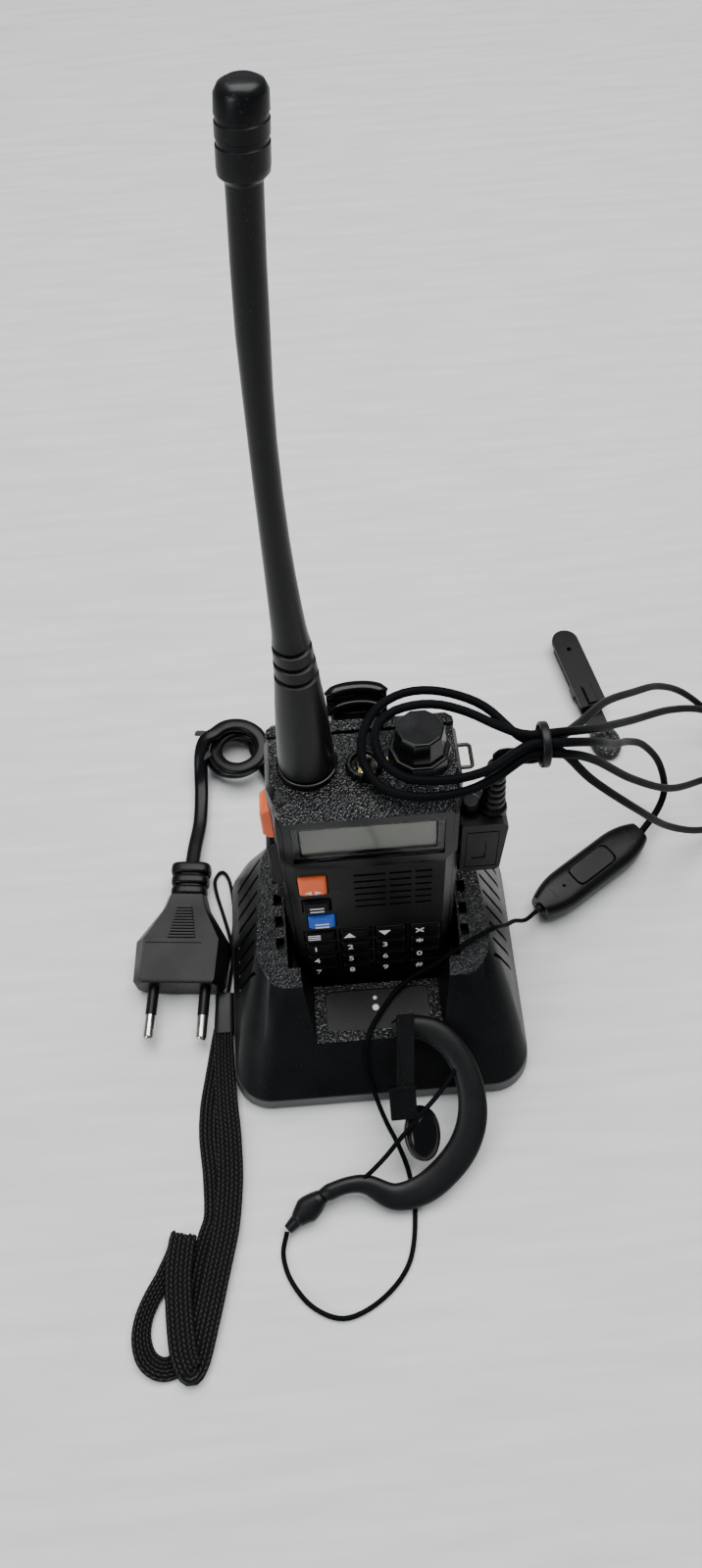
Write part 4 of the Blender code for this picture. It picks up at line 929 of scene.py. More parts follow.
# ================================================================ radio inside, back and top
def make_back():
    battery = piece("battery_cover", one_loft([
        (0.0, [(-26.2, 4.0), (26.2, 4.0), (26.2, 12.2), (22.8, 15.6), (-22.8, 15.6), (-26.2, 12.2)]),
        (0.9, [(-27.0, 4.0), (27.0, 4.0), (27.0, 12.6), (23.4, 16.4), (-23.4, 16.4), (-27.0, 12.6)]),
        (72.6, [(-27.0, 4.0), (27.0, 4.0), (27.0, 12.6), (23.4, 16.4), (-23.4, 16.4), (-27.0, 12.6)]),
    ]), UPRIGHT, "radio", SHELL, ("battery_case",))
    grips = bmesh.new()
    for side in (-1, 1):
        for i in range(6):
            z = 58.0 + 2.2 * i
            add_box(grips, sorted((side * 26.2, side * 28.0)), (6.0, 12.0), (z - 0.45, z + 0.45))
    label = one_prism([(-a, b) for a, b in rounded(18.0, 14.0, 52.0, 2.0, 5)], 'Y', 16.0, 18.0)
    pads = bmesh.new()
    for x in (-8.0, 8.0):
        add_cylinder(pads, (x, 10.0, -0.2), 2.6, 1.2, sides=32)
    carve(battery, [('DIFFERENCE', grips, UPRIGHT), ('DIFFERENCE', label, UPRIGHT),
                    ('DIFFERENCE', pads, UPRIGHT)])
    soften(battery, 0.5, 3)
    terminals = bmesh.new()
    for x in (-8.0, 8.0):
        add_lathe(terminals, [(0, 1.2), (2.3, 1.2), (2.3, 0.5), (2.0, 0.42), (0, 0.42)], (x, 10.0), 32)
    soften(piece("battery_terminals", terminals, UPRIGHT, "radio", BRASS, ()), 0)

    dress("chassis", GRAIN_GLINTS, 0.5, 3)
    dress("battery_latch", SHELL, 0.3)
    ribs = bmesh.new()
    for i in range(4):
        add_box(ribs, (-5.6, 5.6), (17.2, 17.8), (74.6 + 1.1 * i, 75.1 + 1.1 * i))
    soften(piece("latch_ribs", ribs, UPRIGHT, "battery_latch", SHELL, ()), 0.12, 2)
    dress("clip_plate", STEEL, 0.25)
    lever = piece("clip_lever_body", one_prism([
        (18.2, 45.0), (19.6, 44.2), (22.6, 47.6), (24.8, 56.0), (25.4, 90.0), (25.8, 104.0), (27.4, 108.6),
        (26.0, 110.0), (24.4, 108.0), (23.8, 104.0), (23.4, 90.0), (22.9, 57.0), (21.2, 50.0), (18.6, 46.6),
    ], 'X', -9.0, 9.0), UPRIGHT, "clip_lever", GLOSS, ("clip_lever",))
    panel = one_prism([(-a, b) for a, b in rounded(6.0, 58.0, 96.0, 2.5, 6)], 'Y', 24.9, 30.0)
    carve(lever, [('UNION', one_box((-7.3, 7.3), (19.8, 24.6), (98.6, 103.4)), UPRIGHT),
                  ('DIFFERENCE', one_cylinder((0, 21.4, 101.0), 1.25, 30, 'X', 24), UPRIGHT),
                  ('DIFFERENCE', panel, UPRIGHT)])
    soften(lever, 0.5, 3)
    bars = bmesh.new()
    for y, z, half, width in ((27.2, 110.6, 8.6, 4.0), (24.6, 107.2, 7.6, 2.2)):
        arc = [Vector((half * (i / 14 - 1), y - 1.6 * (i / 14 - 1) ** 2, z - 1.4 * (i / 14 - 1) ** 4))
               for i in range(29)]
        sweep(bars, arc, lambda i, s, w=width: oval(
            w * min(1, 0.55 + 0.15 * min(i, 28 - i)), w * 0.8, 20, 2.6), UP)
    soften(piece("clip_bars", bars, UPRIGHT, "clip_lever", GLOSS, ()), 0)
    dress("clip_pin", STEEL, 0.15)
    dress("circuit_board", BOARD, 0.1, 1)
    dress("dock_board", BOARD, 0.1, 1)
    soften(piece("display_panel", one_box((-19.3, 19.3), (-15.4, -12.4), (88.6, 101.2)), UPRIGHT, "radio",
                 LCD, ("lcd_module",)), 0)
    window = [[(21.6 - inset, y, z) for z in (86.4 + inset, 103.2 - inset)]
              for y, inset in ((-16.25, 0.0), (-16.7, 0.0), (-16.85, 0.2))]
    bm = bmesh.new()
    skin(bm, [[bm.verts.new(corner) for corner in ((-x, y, low), (x, y, low), (x, y, high), (-x, y, high))]
              for (x, y, low), (_, _, high) in window])
    soften(piece("display_window", bm, UPRIGHT, "radio", WINDOW, ("display_lens",)), 0,
           smooth=20.0)
    dress("speaker", STEEL, 0.4)
    dress("keypad_mat", RUBBER, 0.2)
    dress("volume_encoder", STEEL, 0.2)
    dress("contact_left", BRASS, 0.4, 3)
    dress("contact_right", BRASS, 0.4, 3)

    ring = bpy.data.curves.new("strap_eye", 'CURVE')
    ring.dimensions = '3D'
    ring.bevel_depth = 0.6 * MM
    ring.bevel_resolution = 6
    spline = ring.splines.new('POLY')
    corners = ((1.0, -3.1, 180), (3.0, -3.1, 270), (3.0, 3.1, 0), (1.0, 3.1, 90))
    points = []
    for x, y, start in corners:
        for i in range(7):
            angle = math.radians(start + 15 * i)
            points.append(on_radio(27.3 + x + math.cos(angle), 3.7 + y + math.sin(angle), 104.0))
    spline.points.add(len(points) - 1)
    for target, point in zip(spline.points, points):
        target.co = (*(point * MM), 1.0)
    spline.use_cyclic_u = True
    spline.use_smooth = True
    ring.materials.append(DARK_STEEL)
    settle(bpy.data.objects.new("strap_eye", ring), "strap_ring", ("strap_ring",))


def whip_bend(z):
    """The rubber whip is a little bowed: the middle to the left, the tip to the right."""
    t = max(0.0, (z - 150.0) / 134.0)
    return -1.6 * math.sin(math.pi * t) + 2.2 * t ** 3


def make_top():
    whip = [(0, 284.2), (2.6, 284.2), (3.8, 283.6), (4.5, 282.4)]
    for z in (279.0, 275.5):
        whip += [(4.6, z + 0.6), (4.35, z + 0.35), (4.35, z - 0.35), (4.6, z - 0.6)]
    whip += [(4.62, 271.6), (4.5, 270.4), (3.7, 269.6), (3.3, 269.0)]
    for z, radius in ((255.0, 3.3), (242.0, 3.32), (230.0, 3.1), (218.0, 3.0), (205.0, 3.1), (192.0, 3.3),
                      (181.0, 3.6), (172.0, 3.95), (165.0, 4.3), (162.0, 4.55)):
        whip.append((radius, z))
    for i in range(3):
        z = 159.6 - 5.0 * i
        radius = 4.8 + 0.37 * i
        whip += [(radius, z + 0.9), (radius - 0.75, z + 0.5), (radius - 0.75, z - 0.5),
                 (radius + 0.2, z - 0.9)]
    for z, radius in ((144.0, 6.05), (138.0, 6.6), (130.0, 7.15), (122.0, 7.6), (116.0, 7.9), (113.2, 8.0),
                      (112.9, 7.8)):
        whip.append((radius, z))
    whip += [(3.4, 112.8), (3.4, 119.6), (0, 119.6)]
    bm = one_lathe(whip, (-15.5, -0.5), 72, whip_bend)
    soften(piece("antenna_rubber", bm, UPRIGHT, "antenna_whip", RUBBER, ("antenna_whip",)), 0, smooth=38.0)

    bm = one_lathe([(0, 119.0), (3.0, 119.0), (3.0, 112.5), (8.1, 112.5), (8.55, 112.2), (8.65, 111.8),
                    (8.65, 110.7), (8.4, 110.3), (5.0, 110.2), (5.0, 101.0), (0, 101.0)], (-15.5, -0.5), 72)
    soften(piece("antenna_collar", bm, UPRIGHT, "radio", GLOSS, ("antenna_socket",)), 0,
           smooth=38.0)

    # torch: a knurled ring, a bright reflector with a yellow emitter, and a clear dome
    bm = bmesh.new()
    teeth, sides = 14, 14 * 8
    rings = []
    for depth, z in ((1.0, 110.35), (1.0, 112.1), (0.45, 112.7), (0.0, 112.9)):
        ring = []
        for i in range(sides):
            wave = 0.5 + 0.5 * math.tanh(3 * math.cos(teeth * math.tau * i / sides))
            radius = 4.75 + 0.0 + depth * 0.55 * wave - (0.35 if depth == 0 else 0.0)
            angle = math.tau * i / sides
            ring.append(bm.verts.new((0.3 + radius * math.cos(angle), -2.5 + radius * math.sin(angle), z)))
        rings.append(ring)
    for radius, z in ((3.9, 112.8), (3.7, 112.2), (3.7, 110.35)):
        rings.append([bm.verts.new((0.3 + radius * math.cos(math.tau * i / sides),
                                    -2.5 + radius * math.sin(math.tau * i / sides), z))
                      for i in range(sides)])
    rings.append(rings[0])
    skin(bm, rings, False)
    soften(piece("torch_ring", bm, UPRIGHT, "radio", SHELL, ("torch_bezel",)), 0)
    cup = one_lathe([(0, 107.6), (1.3, 107.6), (3.4, 111.5), (3.55, 111.6), (3.55, 106.0), (0, 106.0)],
                    (0.3, -2.5), 48)
    soften(piece("torch_reflector", cup, UPRIGHT, "radio", NICKEL, ()), 0)
    chip = one_lathe([(0, 108.6), (0.9, 108.4), (1.1, 107.9), (1.1, 107.7), (0, 107.7)], (0.3, -2.5), 24)
    soften(piece("torch_emitter", chip, UPRIGHT, "radio", EMITTER, ()), 0)
    dome = one_lathe([(0, 112.6), (1.4, 112.5), (2.6, 112.2), (3.4, 111.8), (3.4, 111.7), (2.6, 111.8),
                      (1.4, 112.1), (0, 112.2)], (0.3, -2.5), 48)
    soften(piece("torch_dome", dome, UPRIGHT, "radio", WINDOW, ("torch_lens",)), 0)

    # volume knob: ten flats above, a wider skirt of ten flats below
    bm = bmesh.new()
    add_lathe(bm, [(0, 123.4), (6.35, 123.4), (6.75, 123.0), (7.5, 116.2), (7.2, 115.7), (0, 115.7)],
              (16.0, -0.4), 10)
    knob = piece("knob_cap", bm, UPRIGHT, "volume_knob", KNOB, ("volume_knob",))
    skirt = one_lathe([(0, 115.6), (8.4, 115.6), (8.8, 115.2), (9.05, 110.9), (8.8, 110.6), (0, 110.6)],
                      (16.0, -0.4), 10)
    carve(knob, [('UNION', skirt, UPRIGHT),
                 ('DIFFERENCE', one_cylinder((16.0, -0.4, 113.0), 3.3, 15.2), UPRIGHT)])
    soften(knob, 0.3, 3, 20.0, 25.0)


# ================================================================ headset
def make_headset_plug():
    body = piece("side_plug", one_prism([
        (28.4, 59.0), (29.4, 58.0), (39.8, 58.0), (41.0, 59.4), (42.4, 81.0), (40.8, 83.0), (28.4, 83.0),
    ], 'Y', -6.5, 6.5), UPRIGHT, "radio", SHELL, ("headset_plug",))
    lines = bmesh.new()
    for y in (-6.5, 6.5):
        for x, z in (((30.2, 39.2), (60.2, 60.7)), ((30.2, 39.2), (78.9, 79.4)),
                     ((39.3, 39.8), (60.2, 79.4)), ((29.6, 30.1), (60.2, 79.4)),
                     ((35.4, 36.1), (65.9, 73.0)), ((31.8, 36.1), (65.0, 65.7))):
            add_box(lines, x, (y - 0.35, y + 0.35), z)
    carve(body, [('DIFFERENCE', lines, UPRIGHT)])
    soften(body, 0.45, 3, 40.0)
    profile = [(0, 104.0), (2.2, 104.0), (2.6, 103.6)]
    for i in range(6):
        z = 101.6 - 2.9 * i
        radius = 2.75 + 0.16 * i
        profile += [(radius, z + 0.9), (radius + 0.25, z), (radius + 0.1, z - 0.9), (radius - 0.6, z - 1.1),
                    (radius - 0.6, z - 1.7)]
    profile += [(4.3, 84.4), (4.5, 83.0), (4.5, 82.0), (0, 82.0)]
    boot = one_lathe(profile, (BOOT_X, 0), 40)
    add_lathe(boot, [(0, 87.2), (2.3, 87.2), (2.9, 86.6), (3.0, 82.0), (0, 82.0)], (31.6, 0), 32)
    soften(piece("side_plug_boot", boot, UPRIGHT, "radio", RUBBER, ()), 0.15, 2)
    pins = bmesh.new()
    add_cylinder(pins, (22.6, 0, 77.0), 1.75, 13, 'X', 24)
    add_cylinder(pins, (22.6, 0, 65.0), 1.25, 13, 'X', 24)
    soften(piece("side_plug_pins", pins, UPRIGHT, "radio", NICKEL, ()), 0.3, 2)


def make_tie():
    """A soft band round the bundle with its tail hanging out on the left."""
    path = [TIE + Vector((0.0, 5.9 * math.cos(a), 5.9 * math.sin(a)))
            for a in (math.tau * i / 64 - math.pi / 2 for i in range(65))]
    bm = bmesh.new()
    sweep(bm, path, lambda i, s: oval(1.1, 2.4, 20, 3.0), Vector((1, 0, 0)))
    tail = smooth_route([TIE + Vector(p) for p in ((0.6, 0.3, -5.9), (-2.2, 0.2, -7.0), (-5.2, 0.0, -6.4),
                                                   (-8.0, -0.3, -3.8), (-9.6, -0.5, -2.4))], 24)
    sweep(bm, tail, lambda i, s: oval(2.4 - 0.8 * s, 1.1, 16, 3.0), UP)
    soften(piece("bundle_tie", bm, UPRIGHT, "radio", HOOK_RUBBER, ("cable_tie",)), 0)


def make_capsule():
    """The in-line microphone: a long lozenge with a boot at each end and a low button."""
    bm = bmesh.new()
    path = [Vector((-24.9 + 49.8 * i / 60, 0, 0)) for i in range(61)]

    def section(i, share):
        t = abs(2 * share - 1)
        swell = 1.0 - 0.42 * max(0.0, (t - 0.45) / 0.55) ** 2.2
        return oval(15.4 * swell, 11.4 * (0.5 + 0.5 * swell), 40, 3.2)
    sweep(bm, path, section, UP)
    body = piece("mic_body", bm, CAPSULE, "radio", SHELL, ("mic_capsule",))
    seam = bmesh.new()
    for y in ((-9.0, -7.35), (7.35, 9.0)):
        add_box(seam, (-22, 22), y, (-0.2, 0.2))
    ring = bmesh.new()
    for x in (-19.0, 19.0):
        add_box(ring, (x - 0.2, x + 0.2), (-9, 9), (5.2, 8.0))
    carve(body, [('DIFFERENCE', one_prism(rounded(9.4, -4.4, 4.4, 2.4, 6), 'Z', 3.6, 9.0), CAPSULE),
                 ('DIFFERENCE', seam, CAPSULE), ('DIFFERENCE', ring, CAPSULE),
                 ('DIFFERENCE', one_cylinder((-14.0, 0, 5.6), 0.6, 3.0, sides=20), CAPSULE)])
    soften(body, 0.15, 2, 40.0, 45.0)
    boots = bmesh.new()
    for side in (-1, 1):
        path = [Vector((side * (24.0 + 2.5 * i / 10), 0, 0)) for i in range(11)]
        sweep(bm=boots, path=path, section=lambda i, s: oval(5.6 - 2.0 * s, 5.0 - 1.6 * s, 24),
              up=UP)
    soften(piece("mic_boots", boots, CAPSULE, "radio", RUBBER, ()), 0.2, 2)

    bm = bmesh.new()
    rings = []
    for z, inset in ((4.4, 0.0), (5.75, 0.0), (6.0, 0.25), (6.1, 0.9)):
        outline = rounded(9.0 - inset, inset - 4.0, 4.0 - inset, 2.2, 6)
        rings.append([bm.verts.new((x, y, z)) for x, y in outline])
    skin(bm, rings)
    button = piece("mic_button_cap", bm, CAPSULE, "mic_button", SHELL, ("mic_button",))
    soften(button, 0.12, 2)


# The hook's middle line on its own plane, as (u, v, width).
HOOK_LINE = ((4.0, 27.0, 7.0), (11.0, 27.2, 7.6), (18.5, 24.4, 8.6), (24.6, 17.4, 8.6),
             (28.0, 8.0, 9.0), (28.2, -2.5, 9.8), (25.0, -11.5, 10.2), (18.8, -19.0, 10.2),
             (10.2, -25.0, 9.8), (0.6, -26.8, 8.6), (-8.0, -22.4, 6.4), (-14.0, -21.9, 5.4),
             (-20.0, -23.4, 5.4), (-24.0, -25.2, 6.4))


def make_ear_hook():
    """A wide soft hook with a thin tail, drawn on its own leaning plane."""
    line = smooth_route([(u - HOOK_CENTRE.x, v, w) for u, v, w in HOOK_LINE], 120)
    path = [Vector((p.x, p.y, 0.0)) for p in line]
    widths = [p.z for p in line]
    bm = bmesh.new()

    def section(i, share):
        ends = min(1.0, (i + 1) / 5, (len(path) - i) / 5)
        return oval(widths[i] * (0.55 + 0.45 * ends), 4.4 * (0.55 + 0.45 * ends), 28, 2.3)
    sweep(bm, path, section, UP)
    hook = piece("ear_hook_body", bm, HOOK, "radio", HOOK_RUBBER, ("ear_hook",))
    soften(hook, 0)

    bulb = smooth_route([(-28.2, -24.8, 0), (-31.4, -27.2, 0), (-34.6, -29.6, 0), (-39.9, -34.2, 0)], 40)
    bm = bmesh.new()

    def swell(i, share):
        if share < 0.45:
            size = 5.0 + 3.6 * math.sin(math.pi * share / 0.9)
        elif share < 0.72:
            size = 8.6 - 3.4 * (share - 0.45) / 0.27
        else:
            size = 4.6 - 1.2 * (share - 0.72) / 0.28
        return oval(size, min(size, 6.0), 28, 2.2)
    sweep(bm, bulb, swell, UP)
    soften(piece("ear_hook_boot", bm, HOOK, "radio", HOOK_RUBBER, ()), 0)


def make_ear_speaker():
    """The speaker hangs from the hook on a bar: a block, and a glossy oval bud turned aside."""
    bm = bmesh.new()
    add_prism(bm, [(0.7, 31.5), (-1.6, 5.0), (4.2, 5.0), (6.5, 31.5)], 'Z', 2.1, 6.2)
    arm = piece("speaker_arm", bm, HOOK, "ear_speaker", SHELL, ("ear_speaker",))
    block = one_box((-3.8, 4.8), (-1.4, 8.8), (0.6, 7.6))
    rib = one_box((-2.2, 5.2), (7.8, 8.9), (5.8, 7.9))
    groove = one_box((0.5, 0.9), (9.5, 26.0), (5.9, 7.0))
    carve(arm, [('UNION', block, HOOK), ('UNION', rib, HOOK), ('DIFFERENCE', groove, HOOK)])
    soften(arm, 0.5, 3)
    bm = bmesh.new()
    turn = Matrix.Translation((5.9, -6.8, 3.0)) @ Matrix.Rotation(math.radians(24), 4, 'Y')
    add_lathe(bm, [(0, 4.0), (3.2, 3.9), (5.0, 3.4), (6.0, 2.2), (6.2, 0.6), (6.0, 0.1), (6.0, -0.6),
                   (6.2, -1.0), (5.6, -2.6), (4.0, -3.6), (0, -3.9)], sides=48)
    bm.transform(turn @ Matrix.Diagonal((0.95, 1.42, 1.0, 1.0)))
    soften(piece("speaker_bud", bm, HOOK, "ear_speaker", GLOSS, ()), 0, smooth=42.0)


def make_lapel_clip():
    base = bmesh.new()
    outline = [(24.0, 4.2), (-19.0, 4.2)] + [(-19.0 - 4.2 * math.sin(a), 4.2 * math.cos(a)) for a in
                                            (math.pi * i / 12 for i in range(1, 12))]
    outline += [(-19.0, -4.2), (24.0, -4.2)]
    add_prism(base, outline, 'Z', 0.6, 2.2)
    plate = piece("lapel_plate", base, LAPEL, "radio", SHELL, ("lapel_clip_base",))
    pad = one_lathe([(0, 4.0), (4.6, 3.9), (5.7, 3.4), (6.0, 2.6), (6.0, 0.9), (5.6, 0.6), (0, 0.6)],
                    sides=48)
    pad.transform(Matrix.Translation((29.0, 0, 0)) @ Matrix.Diagonal((1.3, 1.0, 1.0, 1.0)))
    grooves = bmesh.new()
    for i in (-1, 0, 1):
        add_box(grooves, (26.0, 33.0), (2.1 * i - 0.35, 2.1 * i + 0.35), (3.3, 5.0),
                Matrix.Rotation(math.radians(18), 4, 'Z'), (29.0, 0, 0))
    knuckle = one_box((2.2, 5.8), (-4.2, 4.2), (1.8, 5.4))
    carve(plate, [('UNION', pad, LAPEL), ('UNION', knuckle, LAPEL), ('DIFFERENCE', grooves, LAPEL)])
    soften(plate, 0.3, 3)
    plate.data.materials.append(GRAIN_GLINTS)
    back = LAPEL.inverted()
    for face in plate.data.polygons:
        spot = back @ (face.center / MM)
        if spot.x > 23.5 and spot.z > 3.0:
            face.material_index = 1

    bm = bmesh.new()
    outline = [(14.0, 5.0), (13.4, 5.5), (-19.5, 5.5)]
    outline += [(-19.5 - 5.5 * math.sin(a), 5.5 * math.cos(a)) for a in
                (math.pi * i / 14 for i in range(1, 14))]
    outline += [(-19.5, -5.5), (13.4, -5.5), (14.0, -5.0)]
    add_prism(bm, outline, 'Z', 6.0, 7.6)
    lever = piece("lapel_lever", bm, LAPEL, "lapel_clip_lever", SHELL, ("lapel_clip_lever",))
    ears = bmesh.new()
    add_box(ears, (1.6, 6.4), (4.6, 5.5), (2.6, 6.6))
    add_box(ears, (1.6, 6.4), (-5.5, -4.6), (2.6, 6.6))
    tongue = one_box((5.0, 13.2), (-1.7, 1.7), (7.2, 8.8))
    slot = bmesh.new()
    add_box(slot, (4.0, 15.0), (-2.3, -1.9), (5, 10))
    add_box(slot, (4.0, 15.0), (1.9, 2.3), (5, 10))
    carve(lever, [('UNION', ears, LAPEL), ('UNION', one_box((-24.9, -22.6), (-2.5, 2.5), (2.6, 6.8)), LAPEL),
                  ('UNION', tongue, LAPEL), ('DIFFERENCE', slot, LAPEL),
                  ('DIFFERENCE', one_cylinder((-15.0, 0, 7), 1.0, 8, sides=24), LAPEL)])
    soften(lever, 0.3, 3)


# ================================================================ mains plug
def make_mains_plug():
    """A flat two-pin plug: faceted body, ribbed boot, thumb ridges and half-sleeved pins."""
    side = [(-17.0, -2.6), (-13.6, -6.6), (13.6, -6.6), (17.0, -2.6), (17.0, 2.6), (13.6, 6.6),
            (-13.6, 6.6), (-17.0, 2.6)]
    bm = bmesh.new()
    rings = []
    for y, share, height in ((-48.5, 0.90, 0.92), (-47.0, 0.97, 1.0), (-32.0, 1.0, 1.0), (-19.0, 0.52, 0.80),
                             (-13.6, 0.42, 0.76)):
        rings.append([bm.verts.new((x * share, y, z * height)) for x, z in side])
    skin(bm, rings)
    body = piece("mains_plug_body", bm, PLUG, "dock", SHELL, ("mains_plug",))
    ridges = bmesh.new()
    for i in range(11):
        y = -19.6 - 1.15 * i
        half = 2.7 + 0.22 * i
        for z in (-1, 1):
            add_box(ridges, (-half, half), (y - 0.34, y + 0.34), sorted((z * 5.6, z * 7.15)))
    ledge = bmesh.new()
    add_box(ledge, (-12.5, 7.5), (-33.8, -33.3), (6.2, 6.9))
    carve(body, [('UNION', ridges, PLUG), ('DIFFERENCE', ledge, PLUG)])
    soften(body, 0.45, 3)

    boot = bmesh.new()
    for i, (low, high, width, height) in enumerate(((-4.2, 0.0, 15.0, 9.4), (-8.6, -5.0, 14.0, 9.2),
                                                    (-13.0, -9.4, 13.4, 9.0))):
        path = [Vector((0, low + (high - low) * k / 8, 0)) for k in range(9)]
        sweep(boot, path, lambda k, s, w=width, h=height: oval(
            w - 0.9 * (2 * s - 1) ** 4, h - 0.9 * (2 * s - 1) ** 4, 36, 3.4), UP)
    core = [Vector((0, -16.0 + 15.0 * k / 8, 0)) for k in range(9)]
    sweep(boot, core, lambda k, s: oval(11.0, 7.0, 36, 3.4), UP)
    soften(piece("mains_plug_boot", boot, PLUG, "dock", SHELL, ()), 0.15, 2)

    sleeves = bmesh.new()
    tips = bmesh.new()
    forward = Matrix.Rotation(math.pi / 2, 4, 'X')
    for x in (-9.3, 9.3):
        for target, profile in (
                (sleeves, [(0, 58.5), (1.9, 58.5), (2.0, 58.3), (2.0, 48.0), (0, 48.0)]),
                (tips, [(0, 67.5), (0.9, 67.4), (1.6, 67.0), (1.95, 66.0), (1.95, 58.6), (0, 58.6)])):
            turned = one_lathe(profile, (0, 0), 36)
            turned.transform(Matrix.Translation((x, 0, 0)) @ forward)
            spare = bpy.data.meshes.new("spare")
            turned.to_mesh(spare)
            turned.free()
            target.from_mesh(spare)
    soften(piece("pin_sleeves", sleeves, PLUG, "dock", SHELL, ()), 0)
    soften(piece("pin_tips", tips, PLUG, "dock", NICKEL, ()), 0, smooth=60.0)


# ================================================================ wrist strap
BRAID_THICKNESS = 1.5
KNOT_COLUMNS = 6
KNOT_LENGTH = 1.6
KNOT_STEPS = 5                 # mesh steps along one knot
COLUMN_STEPS = 5               # mesh steps across one column


def braid(name, route):
    """A flat braid along a route of (x, y, z, width, roll): columns of slanted knots stand up from
    both of its faces."""
    spots = [Vector(entry[:3]) for entry in route]
    marks = [0.0]
    for a, b in zip(spots, spots[1:]):
        marks.append(marks[-1] + (b - a).length)
    count = int(marks[-1] / KNOT_LENGTH * KNOT_STEPS)
    path = smooth_route(spots, count)
    across_steps = KNOT_COLUMNS * COLUMN_STEPS
    bm = bmesh.new()
    layer = bm.verts.layers.float.new("knot")
    rings = []
    side = None
    leg = 0
    for i, point in enumerate(path):
        gone = marks[-1] * i / (count - 1)
        while leg < len(marks) - 2 and gone > marks[leg + 1]:
            leg += 1
        share = min(1.0, (gone - marks[leg]) / (marks[leg + 1] - marks[leg]))
        width, roll = (route[leg][k] + (route[leg + 1][k] - route[leg][k]) * share for k in (3, 4))
        along = (path[min(i + 1, count - 1)] - path[max(i - 1, 0)]).normalized()
        flat = along.cross(UP)
        if side is not None and flat.length < 0.25:
            flat = side - along * side.dot(along)
        elif side is not None and flat.dot(side) < 0:
            flat = -flat
        side = flat = flat.normalized()
        across = Matrix.Rotation(math.radians(roll), 3, along) @ flat
        above = across.cross(along)
        travel = i / KNOT_STEPS
        ring = []
        for face in (1, -1):
            for step in range(across_steps + 1):
                if face == -1 and step in (0, across_steps):
                    continue
                u = step / across_steps if face == 1 else 1 - step / across_steps
                column = min(int(u * KNOT_COLUMNS), KNOT_COLUMNS - 1)
                x = u * KNOT_COLUMNS - column - 0.5
                slant = 0.9 if column % 2 else -0.9
                y = (travel + slant * x + 0.5 * (column % 2)) % 1.0 - 0.5
                knot = max(0.0, 1 - (2 * x) ** 2) * max(0.0, math.cos(math.pi * y)) ** 0.8
                edge = math.sqrt(max(0.0, 1 - (2 * u - 1) ** 8))
                height = face * (BRAID_THICKNESS / 2 * edge + 0.75 * (knot - 0.5) * edge)
                vert = bm.verts.new(point + across * ((u - 0.5) * width) + above * height)
                vert[layer] = knot
                ring.append(vert)
        rings.append(ring)
    skin(bm, rings)
    soften(piece(name, bm, LEVEL, "dock", WEAVE_GLINTS, ("wrist_strap",)), 0, smooth=80.0)


def make_strap():
    """One closed loop of flat braid, folded back on itself, with a crimp; its string is drawn with the cords.
    """
    braid("strap_braid", [
        (-55.0, -17.0, 3.6, 6.5, 0), (-54.9, -31.3, 3.5, 7.6, 10), (-54.4, -44.9, 3.3, 8.6, 14),
        (-53.8, -54.8, 3.3, 8.8, 6), (-53.6, -67.6, 3.3, 8.8, 0), (-54.6, -79.9, 3.3, 8.8, 0),
        (-56.0, -87.4, 3.3, 8.8, 0), (-58.2, -96.0, 3.3, 8.8, 0), (-60.4, -105.0, 3.3, 8.8, 0),
        (-62.6, -113.3, 3.1, 8.8, 0), (-64.4, -119.9, 2.8, 8.6, 0), (-65.6, -123.0, 2.9, 8.4, 0),
        (-66.5, -124.4, 3.8, 8.4, 0), (-67.4, -123.0, 4.7, 8.4, 0), (-68.9, -118.6, 4.9, 8.8, 0),
        (-70.0, -109.3, 4.9, 8.8, 0), (-70.5, -98.0, 4.9, 8.8, 0), (-69.8, -90.0, 4.9, 8.8, 0),
        (-69.3, -86.6, 4.6, 8.8, 0), (-69.1, -85.2, 3.5, 8.8, 0), (-69.6, -86.6, 2.3, 8.6, 0),
        (-71.8, -91.8, 1.9, 8.0, -10), (-75.9, -97.9, 2.5, 6.8, -40), (-79.4, -103.4, 2.9, 6.6, -42),
        (-81.7, -108.9, 3.1, 6.6, -40), (-82.3, -114.4, 2.9, 6.8, -34), (-80.8, -119.6, 2.5, 7.0, -24),
        (-77.4, -122.6, 2.1, 7.0, -12), (-73.4, -123.0, 1.5, 7.0, 0), (-69.9, -120.6, 1.2, 7.4, 0),
        (-67.6, -116.0, 1.2, 8.2, 0), (-66.0, -110.8, 1.2, 8.8, 0), (-64.7, -102.5, 1.2, 8.8, 0),
        (-63.0, -93.9, 1.2, 8.8, 0), (-60.4, -85.8, 1.2, 8.8, 0), (-58.4, -79.3, 1.2, 8.8, 0),
        (-58.6, -66.9, 1.2, 8.8, 0), (-59.8, -53.9, 1.3, 8.8, 0), (-59.4, -44.0, 1.4, 8.8, 0),
        (-58.0, -34.0, 1.4, 8.0, 6), (-55.6, -17.0, 1.6, 6.5, 0)])
    crimp = bmesh.new()
    path = [Vector((-54.3 - 0.05 * i, -4.2 - 1.5 * i, 2.7)) for i in range(11)]
    sweep(crimp, path, lambda i, s: oval(6.6 + 0.8 * s, 4.2 + 0.2 * s, 32, 3.6), UP)
    soften(piece("strap_crimp", crimp, LEVEL, "dock", SHELL, ()), 0.3, 2)


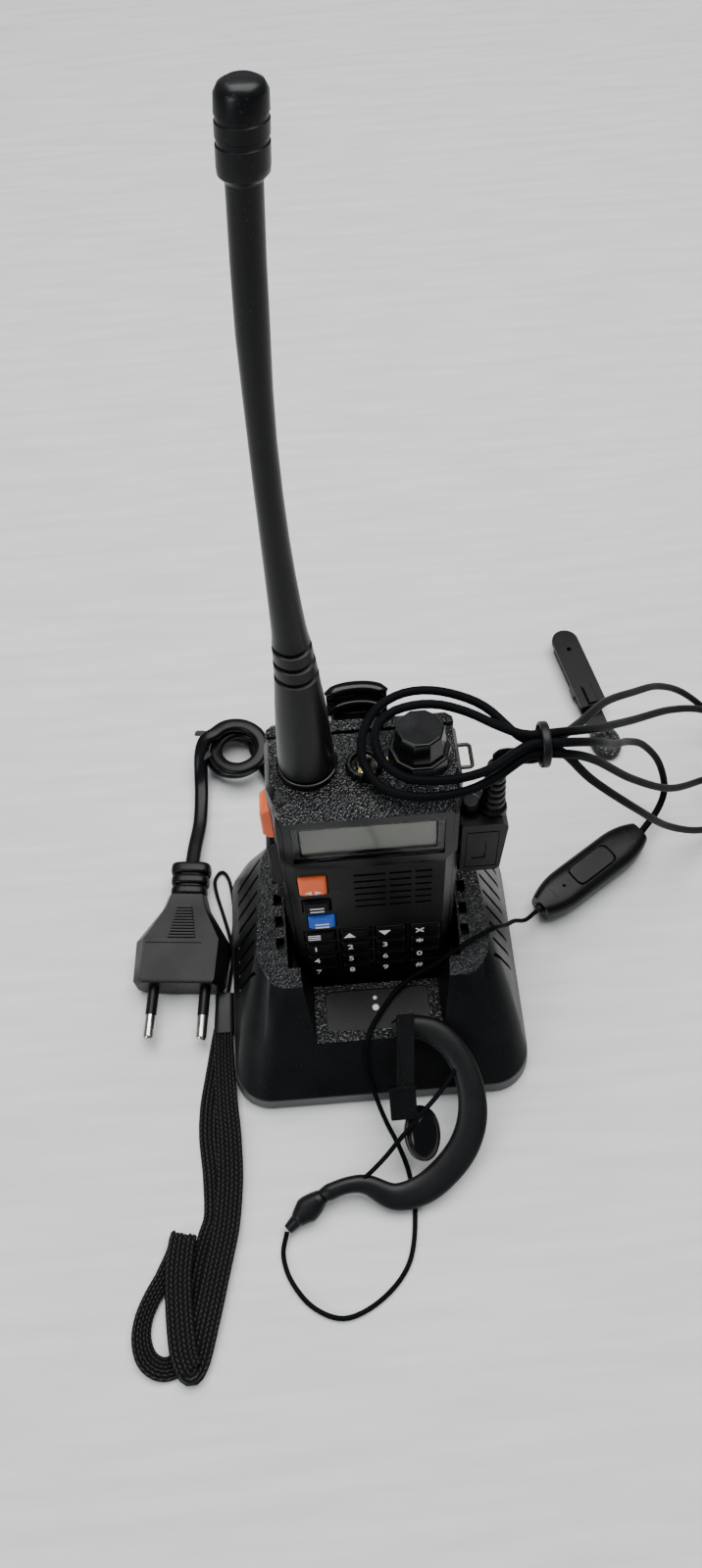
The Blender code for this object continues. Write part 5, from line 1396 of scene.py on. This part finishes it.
def make_mains_tie():
    """The two ends of a grey wire tie round the coiled mains lead, sticking out on the left."""
    bm = bmesh.new()
    for route in (((-57.0, 100.5, 12.0), (-59.8, 102.6, 11.0), (-63.5, 104.4, 9.0)),
                  ((-57.5, 92.0, 13.0), (-60.4, 91.2, 11.0), (-63.6, 90.6, 9.4))):
        sweep(bm, smooth_route(route, 16), lambda i, s: oval(2.6, 1.4, 16, 2.4), UP)
    soften(piece("lead_tie_ends", bm, LEVEL, "dock", BASE, ()), 0)


# ================================================================ surroundings
def area_light(name, place, target, size, power, colour=(1, 1, 1)):
    data = bpy.data.lights.new(name, 'AREA')
    data.shape = 'RECTANGLE'
    data.size, data.size_y = size
    data.energy = power
    data.color = colour
    lamp = bpy.data.objects.new(name, data)
    bpy.context.scene.collection.objects.link(lamp)
    lamp.location = place
    direction = Vector(target) - Vector(place)
    lamp.rotation_euler = direction.to_track_quat('-Z', 'Y').to_euler()


def make_surroundings():
    mat = new_material("pale_floor", (0.70, 0.70, 0.69), 0.55)
    grain = add_node(mat, "TexNoise", {"Vector": add_node(mat, "Mapping", {
        "Vector": add_node(mat, "TexCoord").outputs["Object"], "Scale": (6.0, 60.0, 1.0)}).outputs["Vector"],
        "Scale": 3.0, "Detail": 4.0}).outputs["Fac"]
    link(mat, blend_colour(mat, spread(mat, grain, 0.0, 1.0), (0.66, 0.66, 0.65), (0.74, 0.74, 0.73)),
         "Base Color")
    bm = bmesh.new()
    bmesh.ops.create_grid(bm, x_segments=1, y_segments=1, size=3.0)
    mesh = bpy.data.meshes.new("floor")
    bm.to_mesh(mesh)
    bm.free()
    mesh.materials.append(mat)
    floor = bpy.data.objects.new("floor", mesh)
    bpy.context.scene.collection.objects.link(floor)

    world = bpy.data.worlds.new("studio")
    world.use_nodes = True
    world.node_tree.nodes["Background"].inputs["Color"].default_value = (0.62, 0.66, 0.72, 1.0)
    world.node_tree.nodes["Background"].inputs["Strength"].default_value = 0.30
    bpy.context.scene.world = world
    area_light("ceiling", (0.10, 0.40, 1.4), (0, 0, 0), (1.5, 1.1), 36.0)
    area_light("window", (-0.8, -0.7, 0.7), (0, 0, 0.05), (0.5, 0.5), 5.0, (0.93, 0.97, 1.0))


place_camera()
cords = make_cords()
make_dock()
make_housing()
make_keys()
make_back()
make_top()
make_headset_plug()
make_tie()
make_capsule()
make_ear_hook()
make_ear_speaker()
make_lapel_clip()
make_mains_plug()
make_strap()
make_mains_tie()
make_surroundings()
